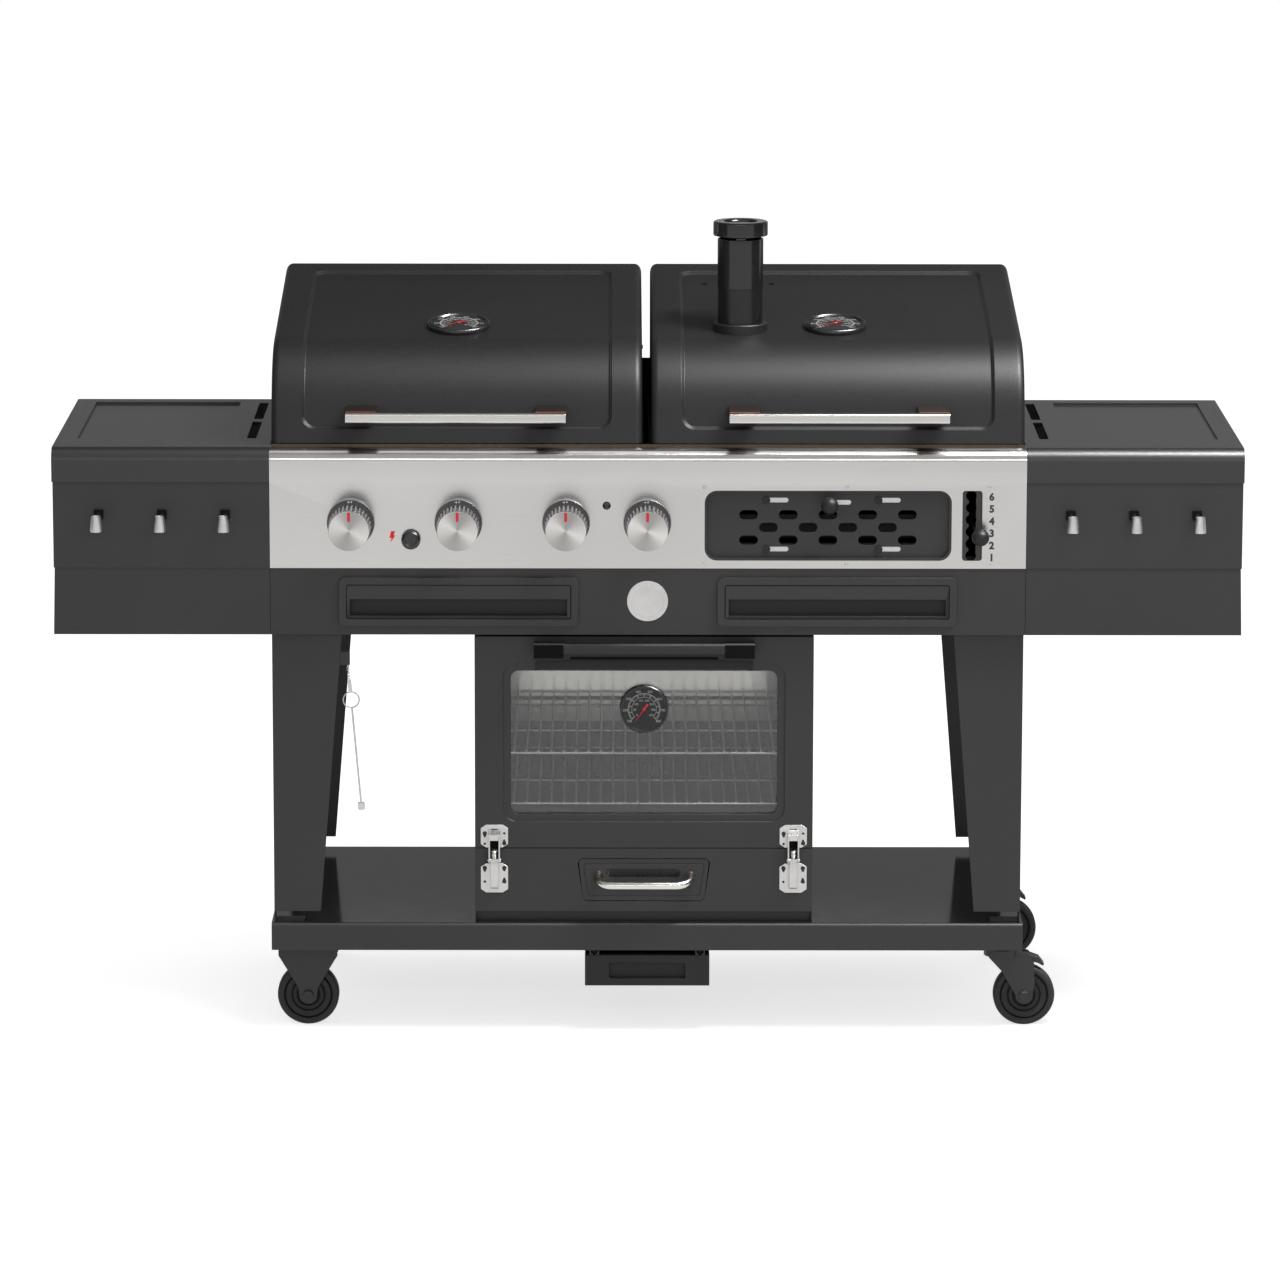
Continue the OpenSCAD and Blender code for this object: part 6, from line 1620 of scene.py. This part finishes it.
class GRILL_OT_fire(bpy.types.Operator):
    """Finishes the fireboxes, grates, burners and gas line"""

    bl_idname = "grill.fire"
    bl_label = "Fire"

    def execute(self, context):
        for node, name in (("left_firebox", "cast_iron"), ("right_firebox", "cast_iron"),
                           ("flame_tamers", "heat_tinted_steel"), ("charcoal_tray", "cast_iron")):
            painted(node, name)
        carried("cooking_grates", ["cast_iron"], 1.2, 30)
        carried("gas_burners", ["heat_tinted_steel"], 0, 30)
        carried("gas_manifold", ["zinc_plate"], 0, 30)
        count = context.scene.grill_fittings.burner_ports
        # each port is a small black disc in the painted shade black, for the dark hole
        port = item_of(lambda s: s.lathe([(0, 12.05), (1.6, 12.05), (1.6, 11.4), (0, 11.4)],
                                         (0, 0, 0), "z", 8))
        for i, x in enumerate(KNOBS[:3], 1):
            grown(f"burner_ports_{i}", "rows", {"Count": count, "Rows": 1, "Step": (0, 0.013, 0),
                  "Finish": "painted_shade_black"}, "cart", "burner", port, at=(x, 110, KNOB_Z))
        return {"FINISHED"}


# ---------------------------------------------------------------- stage
def stage_light(name, power, width, height, at, aim):
    """Area lamp that the camera doesn't see."""
    lamp = bpy.data.lights.new(name, "AREA")
    lamp.shape, lamp.size, lamp.size_y, lamp.energy = "RECTANGLE", width, height, power
    obj = bpy.data.objects.new(name, lamp)
    obj.location = at
    obj.visible_camera = False
    obj.rotation_euler = (Vector(aim) - Vector(at)).to_track_quat("-Z", "Y").to_euler()
    bpy.context.collection.objects.link(obj)
    return obj


def pale_rays(tree):
    """1 for the rays that see the background: the camera's own, mirrored ones and those through glass."""
    rays = add(tree, "ShaderNodeLightPath")
    seen = add(tree, "ShaderNodeMath", {0: rays.outputs["Is Camera Ray"], 1: rays.outputs["Is Glossy Ray"]},
               operation="MAXIMUM")
    seen = add(tree, "ShaderNodeMath", {0: seen.outputs[0], 1: rays.outputs["Is Transmission Ray"]},
               operation="MAXIMUM")
    return seen.outputs[0]


def across(half, low, high):
    """Corners of a card across the stage, from a low to a high edge, each at (y, z)."""
    return (-half, *low), (half, *low), (half, *high), (-half, *high)


def beside(x):
    """Corners of a card that stands at one end of the stage."""
    return (x, -4.2, 0), (x, 2.4, 0), (x, 2.4, 5), (x, -4.2, 5)


# Cards that only reflections see, with their strengths: graded behind the grill, dim at its sides, shaded in
# front, and one small bright one above the right lid. They keep black parts from mirroring a white room
CARDS = (
    ("back_low", across(9, (4.2, 0.35), (4.2, 1.35)), 0.22),
    ("back_middle", across(9, (4.2, 1.35), (4.2, 2.3)), 0.48),
    ("back_high", across(9, (4.2, 2.3), (4.2, 5.2)), 0.085),
    ("left_side", beside(-6.5), 0.15),
    ("right_side", beside(6.5), 0.15),
    ("back_top", across(9, (4.2, 5.2), (0.3, 6.6)), 0.085),
    ("front_top", across(8, (-4.6, 8.0), (-1.9, 6.6)), 0.35),
    ("front_low", across(8, (-5.5, 1.02), (-5.5, 1.95)), 0.70),
    ("front_high", across(8, (-4.6, 2.6), (-4.6, 8.0)), 0.60),
    ("top_right", ((1.3, -1.45, 4.35), (3.8, -1.45, 4.35), (3.8, -0.75, 4.35), (1.3, -0.75, 4.35)), 140.0),
)


def glow_card(name, corners, strength):
    """Plain grey card that only reflections see."""
    mesh = bpy.data.meshes.new(name)
    mesh.from_pydata(corners, [], [(0, 1, 2, 3)])
    matt = bpy.data.materials.new(name)
    matt.use_nodes = True
    base = matt.node_tree.nodes["Principled BSDF"]
    base.inputs["Base Color"].default_value = (0, 0, 0, 1)
    base.inputs["Specular IOR Level"].default_value = 0
    base.inputs["Emission Color"].default_value = (1, 1, 1, 1)
    base.inputs["Emission Strength"].default_value = strength
    mesh.materials.append(matt)
    obj = bpy.data.objects.new(name, mesh)
    bpy.context.collection.objects.link(obj)
    obj.visible_camera = obj.visible_diffuse = obj.visible_shadow = obj.visible_transmission = False
    return obj


class GRILL_OT_stage(bpy.types.Operator):
    """Sets the camera, the soft lights, the pale floor and the grey cards"""

    bl_idname = "grill.stage"
    bl_label = "Stage"

    def execute(self, context):
        given = context.scene.grill_stage
        context.scene.view_settings.view_transform = "Standard"
        data = bpy.data.cameras.new("camera")
        data.lens, data.sensor_width, data.sensor_fit = given.lens, 36.0, "AUTO"
        data.clip_start, data.clip_end = 0.1, 100
        camera = bpy.data.objects.new("camera", data)
        bpy.context.collection.objects.link(camera)
        camera.matrix_world = (Matrix.Translation((given.camera_x, given.camera_y, given.camera_z))
                               @ Matrix.Rotation(given.yaw, 4, "Z")
                               @ Matrix.Rotation(math.pi / 2 - given.pitch, 4, "X")
                               @ Matrix.Rotation(given.roll, 4, "Z"))
        context.scene.camera = camera
        world = bpy.data.worlds.new("studio")
        context.scene.world = world
        world.use_nodes = True
        tree = world.node_tree
        level = add(tree, "ShaderNodeMapRange", {"Value": pale_rays(tree), "To Min": given.fill,
                                                 "To Max": 1.0})
        tree.links.new(level.outputs["Result"], tree.nodes["Background"].inputs["Strength"])
        tree.nodes["Background"].inputs["Color"].default_value = (1, 1, 1, 1)
        stage_light("softbox", given.key, 3.0, 0.7, (1.5, -1.1, 4.5), (0.5, -0.1, 1.1))
        stage_light("strip", given.strip, 5.0, 0.34, (0.1, -4.3, 2.02), (0.1, -0.2, 1.0))
        floor = bpy.data.meshes.new("floor")
        floor.from_pydata([(-14, -14, 0), (14, -14, 0), (14, 14, 0), (-14, 14, 0)], [], [(0, 1, 2, 3)])
        sheet = bpy.data.materials.new("pale_floor")
        sheet.use_nodes = True
        tree = sheet.node_tree
        base = tree.nodes["Principled BSDF"]
        base.inputs["Base Color"].default_value = linear("#c9c9c9") + [1]
        base.inputs["Roughness"].default_value = 0.9
        base.inputs["Specular IOR Level"].default_value = 0.1
        glow = add(tree, "ShaderNodeMath", {0: pale_rays(tree), 1: 0.70}, operation="MULTIPLY")
        tree.links.new(glow.outputs[0], base.inputs["Emission Strength"])
        base.inputs["Emission Color"].default_value = (1, 1, 1, 1)
        floor.materials.append(sheet)
        ground = bpy.data.objects.new("floor", floor)
        bpy.context.collection.objects.link(ground)
        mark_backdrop(ground, *[glow_card(*card) for card in CARDS])
        return {"FINISHED"}


class GRILL_OT_finishes(bpy.types.Operator):
    """Mixes every finish"""

    bl_idname = "grill.finishes"
    bl_label = "Finishes"

    def execute(self, context):
        mix_finishes()
        return {"FINISHED"}


OPERATORS = (GRILL_OT_stage, GRILL_OT_finishes, GRILL_OT_lids, GRILL_OT_lid_handles, GRILL_OT_lid_dials,
             GRILL_OT_chimney, GRILL_OT_front, GRILL_OT_knobs, GRILL_OT_vent, GRILL_OT_shelves,
             GRILL_OT_drawers, GRILL_OT_smoker_door, GRILL_OT_chamber, GRILL_OT_hinges,
             GRILL_OT_chip_tray, GRILL_OT_cart, GRILL_OT_casters, GRILL_OT_match_holder, GRILL_OT_fire)


class GRILL_PT_panel(bpy.types.Panel):
    """Lists the grill cart's pieces and sizes"""

    bl_idname = "GRILL_PT_panel"
    bl_label = "Grill cart"
    bl_space_type = "VIEW_3D"
    bl_region_type = "UI"
    bl_category = "Grill cart"

    def draw(self, context):
        for operator in OPERATORS:
            self.layout.operator(operator.bl_idname)
        for settings in SETTINGS:
            group = getattr(context.scene, settings)
            box = self.layout.box()
            for name in group.__annotations__:
                box.prop(group, name)


SETTINGS = {"grill_finish": GrillFinishSettings, "grill_stage": GrillStageSettings,
            "grill_lids": GrillLidSettings, "grill_fittings": GrillFittingSettings}
CLASSES = (*SETTINGS.values(), *OPERATORS, GRILL_PT_panel)


def register():
    """Registers the settings, the operators and the panel."""
    for kind in CLASSES:
        bpy.utils.register_class(kind)
    for name, kind in SETTINGS.items():
        setattr(bpy.types.Scene, name, PointerProperty(type=kind))


def unregister():
    """Takes them away again."""
    for name in SETTINGS:
        delattr(bpy.types.Scene, name)
    for kind in reversed(CLASSES):
        bpy.utils.unregister_class(kind)


def main():
    """Runs every operator in order."""
    register()
    for operator in OPERATORS:
        group, name = operator.bl_idname.split(".")
        getattr(getattr(bpy.ops, group), name)()
    write_points()


if __name__ == "__main__":
    main()
